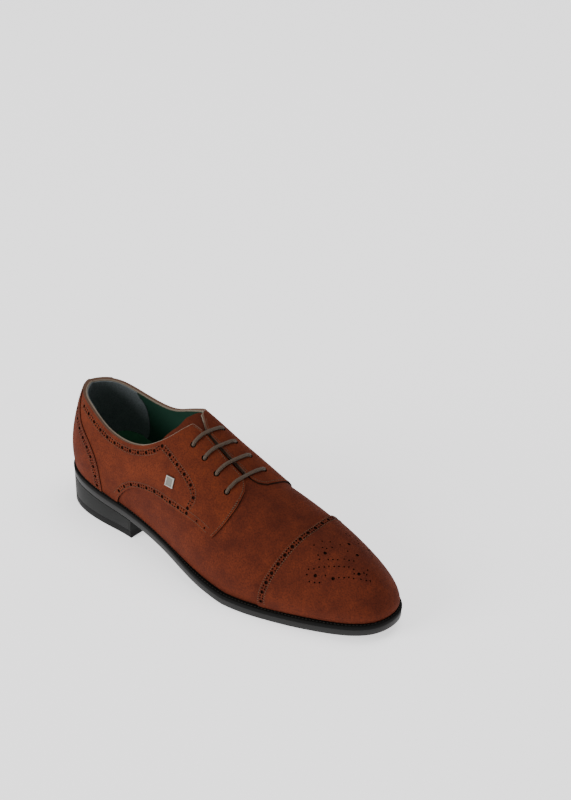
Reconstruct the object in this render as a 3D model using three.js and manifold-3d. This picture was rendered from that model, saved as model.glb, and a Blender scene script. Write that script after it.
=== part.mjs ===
// Cap toe derby brogue for the right foot, four eyelet pairs, standing empty and unbent on its sole.
// Millimetres. +X runs from the heel to the toe, +Y to the medial side, +Z up from the floor.

import * as THREE from 'three';
import { mergeVertices } from 'three/addons/utils/BufferGeometryUtils.js';
import Module from 'manifold-3d';

const wasm = await Module();
wasm.setup();

// Driving sizes of the last and the sole.
const upperLength = 295.5;
const ballWidth = 92;
const instepHeight = 82;
const backHeight = 63;
const heelHeight = 23.4;
const toeSpring = 7;
const ballStart = 186;
const flatLength = 20;
const heelLength = 81;

// Thicknesses, margins and clearances.
const seatGap = 0.3;
const wallThickness = 2.2;
const quarterThickness = 1.0;
const capThickness = 1.0;
const counterThickness = 1.7;
const tongueThickness = 2.0;
const tongueClearance = 0.5;
const insoleThickness = 3.2;
const insoleClearance = 0.6;
const weltThickness = 3.0;
const weltWidth = 8;
const outsoleThickness = 5.1;
const weltMargin = 3.7;
const outsoleSetback = 0.3;
const topLiftThickness = 6;
const edgeBevel = 0.6;

// Lacing.
const eyeletRadius = 2.3;
const laceRadius = 1.2;
const laceSkew = 3.8;
const barSteps = 14;
const barSides = 8;

// Panels laid over the wall.
const capLength = 69.6;
const capLineRadius = 110;
const badgeSide = 8;
const badgeThickness = 1;
const badgeBedRadius = 50;

// How far the tongue is held under the vamp ahead of the throat.
const tongueLap = 16;

// How finely the shapes are cut: rows up a rib and across the mouth, and strips across a plate.
const rowCount = 8;
const mouthRowCount = 4;
const stripCount = 3;

// Ribs along one side, closer together round the heel, where the collar turns into the throat, and
// round the toe.
const ribRows = [
  { rib: 0, share: 0 },
  { rib: 4, share: 0.075 },
  { rib: 12, share: 0.335 },
  { rib: 17, share: 0.408 },
  { rib: 29, share: 0.850 },
  { rib: 36, share: 1 },
];
const ribCount = ribRows[ribRows.length - 1].rib;

const LATERAL = -1;
const MEDIAL = 1;

// Outline of the wall at the feather line: along is a share of upperLength, the rest of ballWidth.
const outlineRows = [
  { along: 0.007, lateral: 0, medial: 0 },
  { along: 0.019, lateral: 0.141, medial: 0.142 },
  { along: 0.043, lateral: 0.235, medial: 0.235 },
  { along: 0.088, lateral: 0.304, medial: 0.302 },
  { along: 0.156, lateral: 0.338, medial: 0.336 },
  { along: 0.257, lateral: 0.360, medial: 0.329 },
  { along: 0.365, lateral: 0.405, medial: 0.310 },
  { along: 0.474, lateral: 0.476, medial: 0.332 },
  { along: 0.575, lateral: 0.522, medial: 0.413 },
  { along: 0.667, lateral: 0.514, medial: 0.476 },
  { along: 0.745, lateral: 0.459, medial: 0.468 },
  { along: 0.819, lateral: 0.387, medial: 0.415 },
  { along: 0.887, lateral: 0.314, medial: 0.345 },
  { along: 0.941, lateral: 0.242, medial: 0.264 },
  { along: 0.976, lateral: 0.162, medial: 0.178 },
  { along: 0.992, lateral: 0.082, medial: 0.104 },
];
const toeTip = { along: 0.997, medial: 0.016 };

// How far the welt stands out from the wall, as a share of weltMargin.
const marginRows = [
  { along: 0, margin: 1 },
  { along: 0.15, margin: 0.95 },
  { along: 0.26, margin: 0.56 },
  { along: 0.40, margin: 0.5 },
  { along: 0.57, margin: 1 },
  { along: 0.74, margin: 1.06 },
  { along: 0.84, margin: 1.22 },
  { along: 1, margin: 1.24 },
];

// Height of the sole's underside from the heel's back to the ball, as shares of ballStart and heelHeight.
const soleRows = [
  { along: -0.06, height: 1.008 },
  { along: 0, height: 1 },
  { along: 0.333, height: 0.735 },
  { along: 0.645, height: 0.453 },
  { along: 1, height: 0 },
];

// The ridge of the last: its height over the feather line as a share of instepHeight.
const ridgeRows = [
  { along: -0.034, height: 1.157 },
  { along: 0.102, height: 1.180 },
  { along: 0.271, height: 1.166 },
  { along: 0.379, height: 1.068 },
  { along: 0.440, height: 1.005 },
  { along: 0.508, height: 0.909 },
  { along: 0.592, height: 0.801 },
  { along: 0.694, height: 0.667 },
  { along: 0.795, height: 0.543 },
  { along: 0.887, height: 0.434 },
  { along: 0.964, height: 0.332 },
  { along: 1.015, height: 0.246 },
];

// Where the ridge runs to the side of the heel's middle, as a share of ballWidth.
const ridgePathRows = [
  { along: 0, side: 0 },
  { along: 0.203, side: -0.011 },
  { along: 0.406, side: -0.054 },
  { along: 0.575, side: -0.071 },
  { along: 0.778, side: -0.011 },
  { along: 0.907, side: 0.008 },
  { along: 1.015, side: 0.016 },
];

// Fullness of each section: 1 is an ellipse, less is squarer and more is leaner.
// Swell is how far the wall bulges past the feather line, as a share of ballWidth.
const sectionRows = [
  { along: 0, lateral: 0.85, medial: 0.85, swell: 0.028 },
  { along: 0.203, lateral: 1.20, medial: 1.10, swell: 0.007 },
  { along: 0.372, lateral: 1.17, medial: 0.55, swell: 0.013 },
  { along: 0.508, lateral: 1.07, medial: 0.52, swell: 0.015 },
  { along: 0.677, lateral: 0.93, medial: 0.70, swell: 0.022 },
  { along: 0.846, lateral: 0.82, medial: 0.60, swell: 0.028 },
  { along: 1.002, lateral: 0.65, medial: 0.65, swell: 0.021 },
];

// Height of the collar's edge over the feather line, as shares of backHeight.
const collarRows = [
  { along: 0, lateral: 0.994, medial: 0.994 },
  { along: 0.068, lateral: 0.988, medial: 0.955 },
  { along: 0.122, lateral: 0.940, medial: 0.890 },
  { along: 0.169, lateral: 0.866, medial: 0.868 },
  { along: 0.217, lateral: 0.837, medial: 0.890 },
  { along: 0.264, lateral: 0.862, medial: 0.962 },
  { along: 0.311, lateral: 0.946, medial: 1.090 },
  { along: 0.359, lateral: 1.100, medial: 1.222 },
  { along: 0.386, lateral: 1.213, medial: 1.305 },
  { along: 0.406, lateral: 1.308, medial: 1.365 },
  { along: 0.420, lateral: 1.360, medial: 1.405 },
];

// Gap from the ridge to each facing's edge, as a share of ballWidth.
const throatRows = [
  { along: 0.400, lateral: 0.040, medial: 0.120 },
  { along: 0.420, lateral: 0.030, medial: 0.076 },
  { along: 0.440, lateral: 0.019, medial: 0.033 },
  { along: 0.460, lateral: 0.016, medial: 0.016 },
  { along: 0.555, lateral: 0.024, medial: 0.024 },
  { along: 0.577, lateral: 0.022, medial: 0.022 },
];

// Where the facings part below the throat: each one's edge beside the ridge, as a share of ballWidth.
const flareRows = [
  { along: 0.5550, lateral: 0.020, medial: 0.020 },
  { along: 0.5800, lateral: 0.030, medial: 0.018 },
  { along: 0.5930, lateral: 0.059, medial: 0.020 },
  { along: 0.6040, lateral: 0.110, medial: 0.036 },
  { along: 0.6085, lateral: 0.170, medial: 0.048 },
  { along: 0.6105, lateral: 0.240, medial: 0.056 },
  { along: 0.6130, lateral: 0.400, medial: 0.066 },
  { along: 0.6200, lateral: 0.700, medial: 0.100 },
  { along: 0.6240, lateral: 0.700, medial: 0.190 },
  { along: 0.6270, lateral: 0.700, medial: 0.320 },
  { along: 0.6320, lateral: 0.700, medial: 0.700 },
];

// The tongue's end over the collar, from its lateral to its medial side: side is a share of ballWidth.
const tongueRows = [
  { side: -0.217, along: 0.335 },
  { side: -0.145, along: 0.354 },
  { side: -0.073, along: 0.378 },
  { side: 0, along: 0.384 },
  { side: 0.145, along: 0.385 },
  { side: 0.217, along: 0.381 },
];

// Eyelets: how far each side's lies from the ridge, as a share of ballWidth.
const eyeletRows = [
  { along: 0.4500, lateral: 0.127, medial: 0.154 },
  { along: 0.4900, lateral: 0.136, medial: 0.161 },
  { along: 0.5335, lateral: 0.151, medial: 0.177 },
  { along: 0.5770, lateral: 0.189, medial: 0.185 },
];

// A lace bar near its eyelet: how far inward in eyelet radii, and its lift as a share of its ride.
const barRows = [
  { inward: 0, lift: 0.36 },
  { inward: 0.40, lift: 0.84 },
  { inward: 1.25, lift: 1.17 },
  { inward: 3.20, lift: 1.13 },
];

// Lower and front edge of a quarter in side view, from its rear end at the feather line to the throat.
// Heights over the feather line are shares of instepHeight.
const quarterRows = [
  { along: 0.222, height: -0.05 },
  { along: 0.228, height: 0.04 },
  { along: 0.242, height: 0.125 },
  { along: 0.262, height: 0.209 },
  { along: 0.290, height: 0.285 },
  { along: 0.322, height: 0.332 },
  { along: 0.365, height: 0.379 },
  { along: 0.415, height: 0.403 },
  { along: 0.462, height: 0.425 },
  { along: 0.507, height: 0.437 },
  { along: 0.542, height: 0.434 },
  { along: 0.577, height: 0.413 },
];
const frontEdgeRows = [
  { along: 0.577, height: 0.413 },
  { along: 0.596, height: 0.534 },
  { along: 0.6065, height: 0.638 },
  { along: 0.610, height: 0.700 },
  { along: 0.614, height: 0.800 },
  { along: 0.618, height: 1.000 },
];
const quarterTipRadius = 2;

// Front edge of the heel counter in side view.
const counterRows = [
  { along: 0.169, height: -0.05 },
  { along: 0.167, height: 0.050 },
  { along: 0.159, height: 0.205 },
  { along: 0.142, height: 0.341 },
  { along: 0.112, height: 0.456 },
  { along: 0.080, height: 0.548 },
  { along: 0.056, height: 0.692 },
  { along: 0.045, height: 0.900 },
];

// Where the blank plate sits on the lateral quarter.
const badgePlace = { along: 0.418, side: -0.362 };

function column(rows, name) {
  return rows.map((row) => row[name]);
}

// A curve through the knots with a continuous bend, straight at both ends.
function smoothCurve(knots, values) {
  const last = knots.length - 1;
  const bends = new Array(last + 1).fill(0);
  const weights = new Array(last + 1).fill(0);
  for (let i = 1; i < last; i += 1) {
    const before = knots[i] - knots[i - 1];
    const after = knots[i + 1] - knots[i];
    const turn = (values[i + 1] - values[i]) / after - (values[i] - values[i - 1]) / before;
    const pivot = 2 * (before + after) - before * weights[i - 1];
    weights[i] = after / pivot;
    bends[i] = (6 * turn - before * bends[i - 1]) / pivot;
  }
  for (let i = last - 1; i > 0; i -= 1) {
    bends[i] -= weights[i] * bends[i + 1];
  }
  return (place) => {
    let i = 0;
    while (i < last - 1 && place > knots[i + 1]) {
      i += 1;
    }
    const span = knots[i + 1] - knots[i];
    const a = (knots[i + 1] - place) / span;
    const b = 1 - a;
    const bend = ((a ** 3 - a) * bends[i] + (b ** 3 - b) * bends[i + 1]) * span * span / 6;
    return a * values[i] + b * values[i + 1] + bend;
  };
}

// A curve through the knots that never overshoots them.
function steadyCurve(knots, values) {
  const last = knots.length - 1;
  const slopes = [];
  for (let i = 0; i < last; i += 1) {
    slopes.push((values[i + 1] - values[i]) / (knots[i + 1] - knots[i]));
  }
  const tangents = knots.map((knot, i) => {
    if (i === 0 || i === last) {
      return slopes[Math.min(i, last - 1)];
    }
    const product = slopes[i - 1] * slopes[i];
    return product <= 0 ? 0 : 2 * product / (slopes[i - 1] + slopes[i]);
  });
  return (place) => {
    const x = Math.min(Math.max(place, knots[0]), knots[last]);
    let i = 0;
    while (i < last - 1 && x > knots[i + 1]) {
      i += 1;
    }
    const span = knots[i + 1] - knots[i];
    const t = (x - knots[i]) / span;
    const rise = (3 - 2 * t) * t * t;
    const ends = values[i] * (1 - rise) + values[i + 1] * rise;
    const lean = t * (1 - t) * ((1 - t) * tangents[i] - t * tangents[i + 1]);
    return ends + lean * span;
  };
}

function tableCurve(rows, name, unit, make = smoothCurve) {
  const knots = column(rows, 'along').map((along) => along * upperLength);
  const values = column(rows, name).map((value) => value * unit);
  return make(knots, values);
}

const soleKnots = column(soleRows, 'along').map((along) => along * ballStart);
const soleHeights = column(soleRows, 'height').map((height) => height * heelHeight);
const waistLine = steadyCurve(soleKnots, soleHeights);
const springStart = ballStart + flatLength;
const foreLength = upperLength + weltMargin - springStart;

// Height of the sole's underside: heel pitch, a flat tread under the ball, then toe spring.
function soleLine(x) {
  const spring = Math.max(0, x - springStart) / foreLength;
  return x < ballStart ? waistLine(x) : toeSpring * spring * spring;
}

const soleStack = outsoleThickness + seatGap + weltThickness + seatGap;

function featherLine(x) {
  return soleLine(x) + soleStack;
}

const ridgeHeight = tableCurve(ridgeRows, 'height', instepHeight);
const ridgePath = tableCurve(ridgePathRows, 'side', ballWidth, steadyCurve);
const swellCurve = tableCurve(sectionRows, 'swell', ballWidth, steadyCurve);
const marginAt = tableCurve(marginRows, 'margin', weltMargin, steadyCurve);
const fullnessCurves = {
  [LATERAL]: tableCurve(sectionRows, 'lateral', 1, steadyCurve),
  [MEDIAL]: tableCurve(sectionRows, 'medial', 1, steadyCurve),
};
const collarCurves = {
  [LATERAL]: tableCurve(collarRows, 'lateral', backHeight),
  [MEDIAL]: tableCurve(collarRows, 'medial', backHeight),
};
const throatCurves = {
  [LATERAL]: tableCurve(throatRows, 'lateral', ballWidth, steadyCurve),
  [MEDIAL]: tableCurve(throatRows, 'medial', ballWidth, steadyCurve),
};
const throatBack = throatRows[0].along * upperLength;
const throatFront = throatRows[throatRows.length - 1].along * upperLength;
const collarFront = collarRows[collarRows.length - 1].along * upperLength;

function featherOutline() {
  const lateral = outlineRows.map((row) => [row.along * upperLength, -row.lateral * ballWidth]);
  const tip = [toeTip.along * upperLength, toeTip.medial * ballWidth];
  const medial = outlineRows.slice(1).map((row) => [row.along * upperLength, row.medial * ballWidth]);
  const loop = [...lateral, tip, ...medial.reverse()];
  const wrap = 4;
  const points = [...loop.slice(-wrap), ...loop, ...loop.slice(0, wrap + 1)];
  const knots = [0];
  for (let i = 1; i < points.length; i += 1) {
    const chord = Math.hypot(points[i][0] - points[i - 1][0], points[i][1] - points[i - 1][1]);
    knots.push(knots[i - 1] + Math.sqrt(chord));
  }
  const xCurve = smoothCurve(knots, points.map((point) => point[0]));
  const yCurve = smoothCurve(knots, points.map((point) => point[1]));
  return {
    at: (place) => [xCurve(place), yCurve(place)],
    heel: knots[wrap],
    toe: knots[wrap + lateral.length],
    heelAgain: knots[wrap + loop.length],
  };
}

const outline = featherOutline();
const outlineSamples = 600;

// Places along one side, spaced evenly by length from the heel's back to the toe's tip.
function evenPlaces(start, end) {
  const places = [start];
  const lengths = [0];
  let before = outline.at(start);
  for (let i = 1; i <= outlineSamples; i += 1) {
    const place = start + (end - start) * i / outlineSamples;
    const here = outline.at(place);
    places.push(place);
    lengths.push(lengths[i - 1] + Math.hypot(here[0] - before[0], here[1] - before[1]));
    before = here;
  }
  return (share) => {
    const wanted = Math.min(Math.max(share, 0), 1) * lengths[outlineSamples];
    let i = 0;
    while (i < outlineSamples - 1 && lengths[i + 1] < wanted) {
      i += 1;
    }
    const part = (wanted - lengths[i]) / (lengths[i + 1] - lengths[i]);
    return places[i] + (places[i + 1] - places[i]) * part;
  };
}

const sidePlaces = {
  [LATERAL]: evenPlaces(outline.heel, outline.toe),
  [MEDIAL]: evenPlaces(outline.heelAgain, outline.toe),
};

// The foot of a rib on the feather outline, with the level direction that points out of the shoe.
function ribFoot(side, share) {
  const place = sidePlaces[side](share);
  const step = 0.001;
  const [x, y] = outline.at(place);
  const ahead = outline.at(place + step);
  const behind = outline.at(place - step);
  const length = Math.hypot(ahead[0] - behind[0], ahead[1] - behind[1]);
  return { x, y, outX: (ahead[1] - behind[1]) / length, outY: -(ahead[0] - behind[0]) / length };
}

const ribTopBack = 0.115 * upperLength;
const ribTopFront = 0.9 * upperLength;
const swellPeak = 9.48;

function ribTopX(share) {
  return ribTopBack + (ribTopFront - ribTopBack) * share;
}

// A point of the form: share runs along a side, angle climbs from 0 at the feather line to a right
// angle on the ridge. A rib leaves its foot and arches over to its own place on the ridge.
function ribPoint(side, share, angle) {
  const foot = ribFoot(side, share);
  const topX = ribTopX(share);
  const climb = Math.sin(angle);
  const reach = 1 - Math.max(Math.cos(angle), 0) ** fullnessCurves[side](foot.x);
  const bulge = swellCurve(foot.x) * swellPeak * climb * (1 - climb) ** 3;
  const x = foot.x + (topX - foot.x) * reach + foot.outX * bulge;
  const y = foot.y + (ridgePath(topX) - foot.y) * reach + foot.outY * bulge;
  const z = featherLine(foot.x) * (1 - climb) + ridgeTop(x) * climb;
  return new THREE.Vector3(x, y, z);
}

const rightAngle = Math.PI / 2;
const probe = 0.002;

function sideNormal(side, share, angle) {
  const along = ribPoint(side, Math.min(share + probe, 1), angle);
  along.sub(ribPoint(side, Math.max(share - probe, 0), angle));
  const up = ribPoint(side, share, Math.min(angle + probe, rightAngle));
  up.sub(ribPoint(side, share, Math.max(angle - probe, 0)));
  return side === LATERAL ? along.cross(up).normalize() : up.cross(along).normalize();
}

function ridgeTop(x) {
  return featherLine(x) + ridgeHeight(x);
}

// The way out of the form. Both sides share it on the ridge and on the first and last rib.
function formNormal(side, share, angle) {
  if (angle === rightAngle) {
    const x = ribTopX(share);
    return new THREE.Vector3(ridgeTop(x - 1) - ridgeTop(x + 1), 0, 2).normalize();
  }
  const normal = sideNormal(side, share, angle);
  const onSeam = share === 0 || share === 1;
  return onSeam ? normal.add(sideNormal(-side, share, angle)).normalize() : normal;
}

// A point at a depth over (positive) or under (negative) the form, level with the feather line below.
function formPoint(side, share, angle, depth) {
  const point = ribPoint(side, share, angle);
  point.addScaledVector(formNormal(side, share, angle), depth);
  if (angle === 0) {
    point.z = featherLine(point.x);
  }
  return point;
}

// The place on a side of the form that lies at x and y, seen from above.
function findPlace(side, x, y) {
  let share = (x - ribTopBack) / (ribTopFront - ribTopBack);
  let angle = rightAngle / 2;
  const nudge = 0.0005;
  for (let round = 0; round < 30; round += 1) {
    const here = ribPoint(side, share, angle);
    const along = ribPoint(side, share + nudge, angle).sub(here).divideScalar(nudge);
    const up = ribPoint(side, share, angle - nudge).sub(here).divideScalar(-nudge);
    const missX = x - here.x;
    const missY = y - here.y;
    const scale = along.x * up.y - along.y * up.x;
    share += 0.7 * (missX * up.y - missY * up.x) / scale;
    angle += 0.7 * (along.x * missY - along.y * missX) / scale;
    angle = Math.min(Math.max(angle, 0.02), rightAngle - 0.001);
  }
  return { share, angle };
}

function inMouth(side, point) {
  const overCollar = point.z - featherLine(point.x) > collarCurves[side](point.x);
  if (point.x < collarFront && overCollar) {
    return true;
  }
  const inThroat = point.x > throatBack && point.x < throatFront;
  return inThroat && Math.abs(point.y - ridgePath(point.x)) < throatCurves[side](point.x);
}

// How far up its rib the wall goes before it meets the mouth of the shoe.
function mouthAngle(side, share) {
  const steps = 40;
  let low = 0;
  let high = 0;
  for (let i = 1; i <= steps && high === 0; i += 1) {
    const angle = rightAngle * i / steps;
    if (inMouth(side, ribPoint(side, share, angle))) {
      high = angle;
    } else {
      low = angle;
    }
  }
  if (high === 0) {
    return rightAngle;
  }
  for (let round = 0; round < 20; round += 1) {
    const middle = (low + high) / 2;
    if (inMouth(side, ribPoint(side, share, middle))) {
      high = middle;
    } else {
      low = middle;
    }
  }
  return low;
}

function closedGeometry(positions, indices) {
  const geometry = new THREE.BufferGeometry();
  geometry.setAttribute('position', new THREE.Float32BufferAttribute(positions, 3));
  geometry.setIndex(indices);
  const merged = mergeVertices(geometry, 1e-4);
  const source = merged.getIndex().array;
  const kept = [];
  for (let i = 0; i < source.length; i += 3) {
    const [a, b, c] = [source[i], source[i + 1], source[i + 2]];
    if (a !== b && b !== c && c !== a) {
      kept.push(a, b, c);
    }
  }
  merged.setIndex(kept);
  return merged;
}

// Collects corners and faces of one closed surface.
function surfaceBuilder() {
  const positions = [];
  const indices = [];
  return {
    corner(point) {
      positions.push(point.x, point.y, point.z);
      return positions.length / 3 - 1;
    },
    face(a, b, c, d) {
      indices.push(a, b, c, a, c, d);
    },
    finish: () => closedGeometry(positions, indices),
  };
}

const ribShare = steadyCurve(column(ribRows, 'rib'), column(ribRows, 'share'));

const ringRibs = [];
for (let i = 0; i < 2 * ribCount; i += 1) {
  const side = i <= ribCount ? LATERAL : MEDIAL;
  ringRibs.push({ side, share: ribShare(i <= ribCount ? i : 2 * ribCount - i) });
}

function wallAngles(side, share) {
  const top = mouthAngle(side, share);
  return Array.from({ length: rowCount + 1 }, (unused, row) => top * row / rowCount);
}

// The wall's own rows, then more of them across the mouth to the ridge.
function closedAngles(side, share) {
  const angles = wallAngles(side, share);
  const top = angles[rowCount];
  for (let row = 1; row < mouthRowCount; row += 1) {
    angles.push(top + (rightAngle - top) * row / mouthRowCount);
  }
  angles.push(rightAngle);
  return angles;
}

// A skin of the form between two depths. Each rib has a corner at every angle that anglesOf gives it.
function skinGeometry(innerDepth, outerDepth, anglesOf) {
  const builder = surfaceBuilder();
  const ribs = ringRibs.map(({ side, share }) => {
    const angles = anglesOf(side, share);
    const cornersAt = (depth) => angles.map((angle) => builder.corner(formPoint(side, share, angle, depth)));
    const closed = angles[angles.length - 1] === rightAngle;
    return { closed, inner: cornersAt(innerDepth), outer: cornersAt(outerDepth) };
  });
  ribs.forEach((rib, i) => {
    const next = ribs[(i + 1) % ribs.length];
    const top = rib.outer.length - 1;
    for (let row = 0; row < top; row += 1) {
      builder.face(rib.outer[row], next.outer[row], next.outer[row + 1], rib.outer[row + 1]);
      builder.face(rib.inner[row], rib.inner[row + 1], next.inner[row + 1], next.inner[row]);
    }
    builder.face(rib.inner[0], next.inner[0], next.outer[0], rib.outer[0]);
    if (!(rib.closed && next.closed)) {
      builder.face(rib.inner[top], rib.outer[top], next.outer[top], next.inner[top]);
    }
  });
  return builder.finish();
}

function solidOf(geometry) {
  const bare = new THREE.BufferGeometry();
  bare.setAttribute('position', geometry.getAttribute('position'));
  bare.setIndex(geometry.getIndex());
  const merged = mergeVertices(bare, 1e-4);
  return new wasm.Manifold(new wasm.Mesh({
    numProp: 3,
    vertProperties: new Float32Array(merged.getAttribute('position').array),
    triVerts: new Uint32Array(merged.getIndex().array),
  }));
}

function geometryOf(solid) {
  const mesh = solid.getMesh();
  const geometry = new THREE.BufferGeometry();
  geometry.setAttribute('position', new THREE.BufferAttribute(mesh.vertProperties, 3));
  geometry.setIndex(new THREE.BufferAttribute(mesh.triVerts, 1));
  return geometry;
}

// An outline in side view, swept from y = from to y = to.
function sideBlock(shape, from, to) {
  const geometry = new THREE.ExtrudeGeometry(shape, { depth: to - from, bevelEnabled: false });
  geometry.rotateX(rightAngle);
  geometry.translate(0, to, 0);
  return solidOf(geometry);
}

// An outline in plan view, swept up through the whole shoe.
function planBlock(shape) {
  const reach = 2 * instepHeight;
  const geometry = new THREE.ExtrudeGeometry(shape, { depth: 2 * reach, bevelEnabled: false });
  geometry.translate(0, 0, -reach);
  return solidOf(geometry);
}

function edgePoints(rows) {
  return rows.map(({ along, height }) => {
    const x = along * upperLength;
    return new THREE.Vector2(x, featherLine(x) + height * instepHeight);
  });
}

function smoothPoints(rows, count) {
  return new THREE.SplineCurve(edgePoints(rows)).getPoints(count);
}

const farSide = 2 * ballWidth;
const wellAbove = 3 * instepHeight;
const wellBelow = -ballWidth;
const wellBehind = -ballWidth;
const edgeSteps = 28;

function counterEdge(shift) {
  return smoothPoints(counterRows, edgeSteps).map((point) => new THREE.Vector2(point.x + shift, point.y));
}

function counterShape() {
  const edge = counterEdge(0);
  const top = edge[edge.length - 1];
  return new THREE.Shape([
    new THREE.Vector2(wellBehind, wellBelow),
    new THREE.Vector2(edge[0].x, wellBelow),
    ...edge,
    new THREE.Vector2(top.x, wellAbove),
    new THREE.Vector2(wellBehind, wellAbove),
  ]);
}

// A quarter from the counter to the throat: its lower seam climbs from the feather line and runs forward
// to the tip, where its front edge turns up. The medial one reaches further forward.
function quarterShape(side) {
  const lead = side === MEDIAL ? laceSkew : 0;
  const rear = counterEdge(seatGap);
  const rearTop = rear[rear.length - 1];
  const seam = smoothPoints(quarterRows, edgeSteps);
  const front = smoothPoints(frontEdgeRows, edgeSteps).map(({ x, y }) => new THREE.Vector2(x + lead, y));
  const tip = front[0];
  seam.pop();
  const intoTip = new THREE.Vector2().subVectors(tip, seam[seam.length - 1]).setLength(quarterTipRadius);
  const outOfTip = new THREE.Vector2().subVectors(front[1], tip).setLength(quarterTipRadius);
  const round = new THREE.QuadraticBezierCurve(
    new THREE.Vector2().subVectors(tip, intoTip),
    tip,
    new THREE.Vector2().addVectors(tip, outOfTip),
  );
  const frontTop = front[front.length - 1];
  return new THREE.Shape([
    new THREE.Vector2(rear[0].x, wellBelow),
    new THREE.Vector2(seam[0].x, wellBelow),
    ...seam,
    ...round.getPoints(4),
    ...front.slice(2),
    new THREE.Vector2(frontTop.x, wellAbove),
    new THREE.Vector2(rearTop.x, wellAbove),
    ...rear.reverse(),
  ]);
}

// Everything ahead of the arc where the toe cap ends.
function capShape() {
  const shape = new THREE.Shape();
  const pastSides = 0.62 * ballWidth;
  const spread = Math.asin(Math.min(0.95, pastSides / capLineRadius));
  const centreX = upperLength - capLength - capLineRadius;
  const centreY = toeTip.medial * ballWidth;
  const steps = 24;
  for (let i = 0; i <= steps; i += 1) {
    const angle = -spread + 2 * spread * i / steps;
    const x = centreX + capLineRadius * Math.cos(angle);
    const y = centreY + capLineRadius * Math.sin(angle);
    if (i === 0) {
      shape.moveTo(x, -farSide);
    }
    shape.lineTo(x, y);
    if (i === steps) {
      shape.lineTo(x, farSide);
    }
  }
  shape.lineTo(2 * upperLength, farSide);
  shape.lineTo(2 * upperLength, -farSide);
  return shape;
}

// The opening between the facings below the throat, seen from above.
function flareShape() {
  const edge = (side, name) => flareRows.map((row) => {
    const x = row.along * upperLength;
    return new THREE.Vector2(x, ridgePath(x) + side * row[name] * ballWidth);
  });
  return new THREE.Shape([...edge(LATERAL, 'lateral'), ...edge(MEDIAL, 'medial').reverse()]);
}

function tongueShape() {
  const foot = throatFront + tongueLap;
  const middle = ridgePath((throatBack + foot) / 2);
  const edge = tongueRows.map(({ side, along }) => {
    return new THREE.Vector2(along * upperLength, middle + side * ballWidth);
  });
  const end = new THREE.SplineCurve(edge).getPoints(2 * edge.length);
  const low = edge[0].y;
  const high = edge[edge.length - 1].y;
  return new THREE.Shape([new THREE.Vector2(foot, high), new THREE.Vector2(foot, low), ...end]);
}

function eyeletPlace(side, row) {
  const x = row.along * upperLength + side * laceSkew / 2;
  const half = side === LATERAL ? row.lateral : row.medial;
  return findPlace(side, x, ridgePath(x) + side * half * ballWidth);
}

// Round holes through the facing and the wall below it, square to the form.
function eyeletCutters(side) {
  const reach = 3 * (wallThickness + quarterThickness);
  return eyeletRows.map((row) => {
    const { share, angle } = eyeletPlace(side, row);
    const hole = new THREE.CylinderGeometry(eyeletRadius, eyeletRadius, 2 * reach, 12);
    const up = new THREE.Vector3(0, 1, 0);
    const normal = formNormal(side, share, angle);
    hole.applyQuaternion(new THREE.Quaternion().setFromUnitVectors(up, normal));
    const centre = ribPoint(side, share, angle);
    hole.translate(centre.x, centre.y, centre.z);
    return solidOf(hole);
  });
}

const eyelets = { [LATERAL]: eyeletCutters(LATERAL), [MEDIAL]: eyeletCutters(MEDIAL) };

function cutAll(solid, cutters) {
  return cutters.reduce((rest, cutter) => rest.subtract(cutter), solid);
}

function upperGeometry() {
  const wall = solidOf(skinGeometry(-wallThickness, 0, wallAngles));
  return geometryOf(cutAll(wall, [...eyelets[LATERAL], ...eyelets[MEDIAL]]));
}

function overlaySkin(thickness) {
  return solidOf(skinGeometry(seatGap, seatGap + thickness, wallAngles));
}

function quarterGeometry(side) {
  const middle = ridgePath((throatBack + throatFront) / 2);
  const from = side === LATERAL ? -farSide : middle;
  const to = side === LATERAL ? middle : farSide;
  const panel = overlaySkin(quarterThickness).intersect(sideBlock(quarterShape(side), from, to));
  return geometryOf(cutAll(panel, [planBlock(flareShape()), ...eyelets[side]]));
}

function capGeometry() {
  return geometryOf(overlaySkin(capThickness).intersect(planBlock(capShape())));
}

function counterGeometry() {
  const panel = overlaySkin(counterThickness).intersect(sideBlock(counterShape(), -farSide, farSide));
  return geometryOf(panel);
}

function tongueGeometry() {
  const top = -(wallThickness + tongueClearance);
  const whole = solidOf(skinGeometry(top - tongueThickness, top, closedAngles));
  return geometryOf(whole.intersect(planBlock(tongueShape())));
}

// A point beside the feather outline: the welt's margin, plus an offset of its own.
function edgePoint(side, share, offset, useMargin) {
  const foot = ribFoot(side, share);
  const reach = offset + (useMargin ? marginAt(foot.x) : 0);
  return { x: foot.x + foot.outX * reach, y: foot.y + foot.outY * reach };
}

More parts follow.
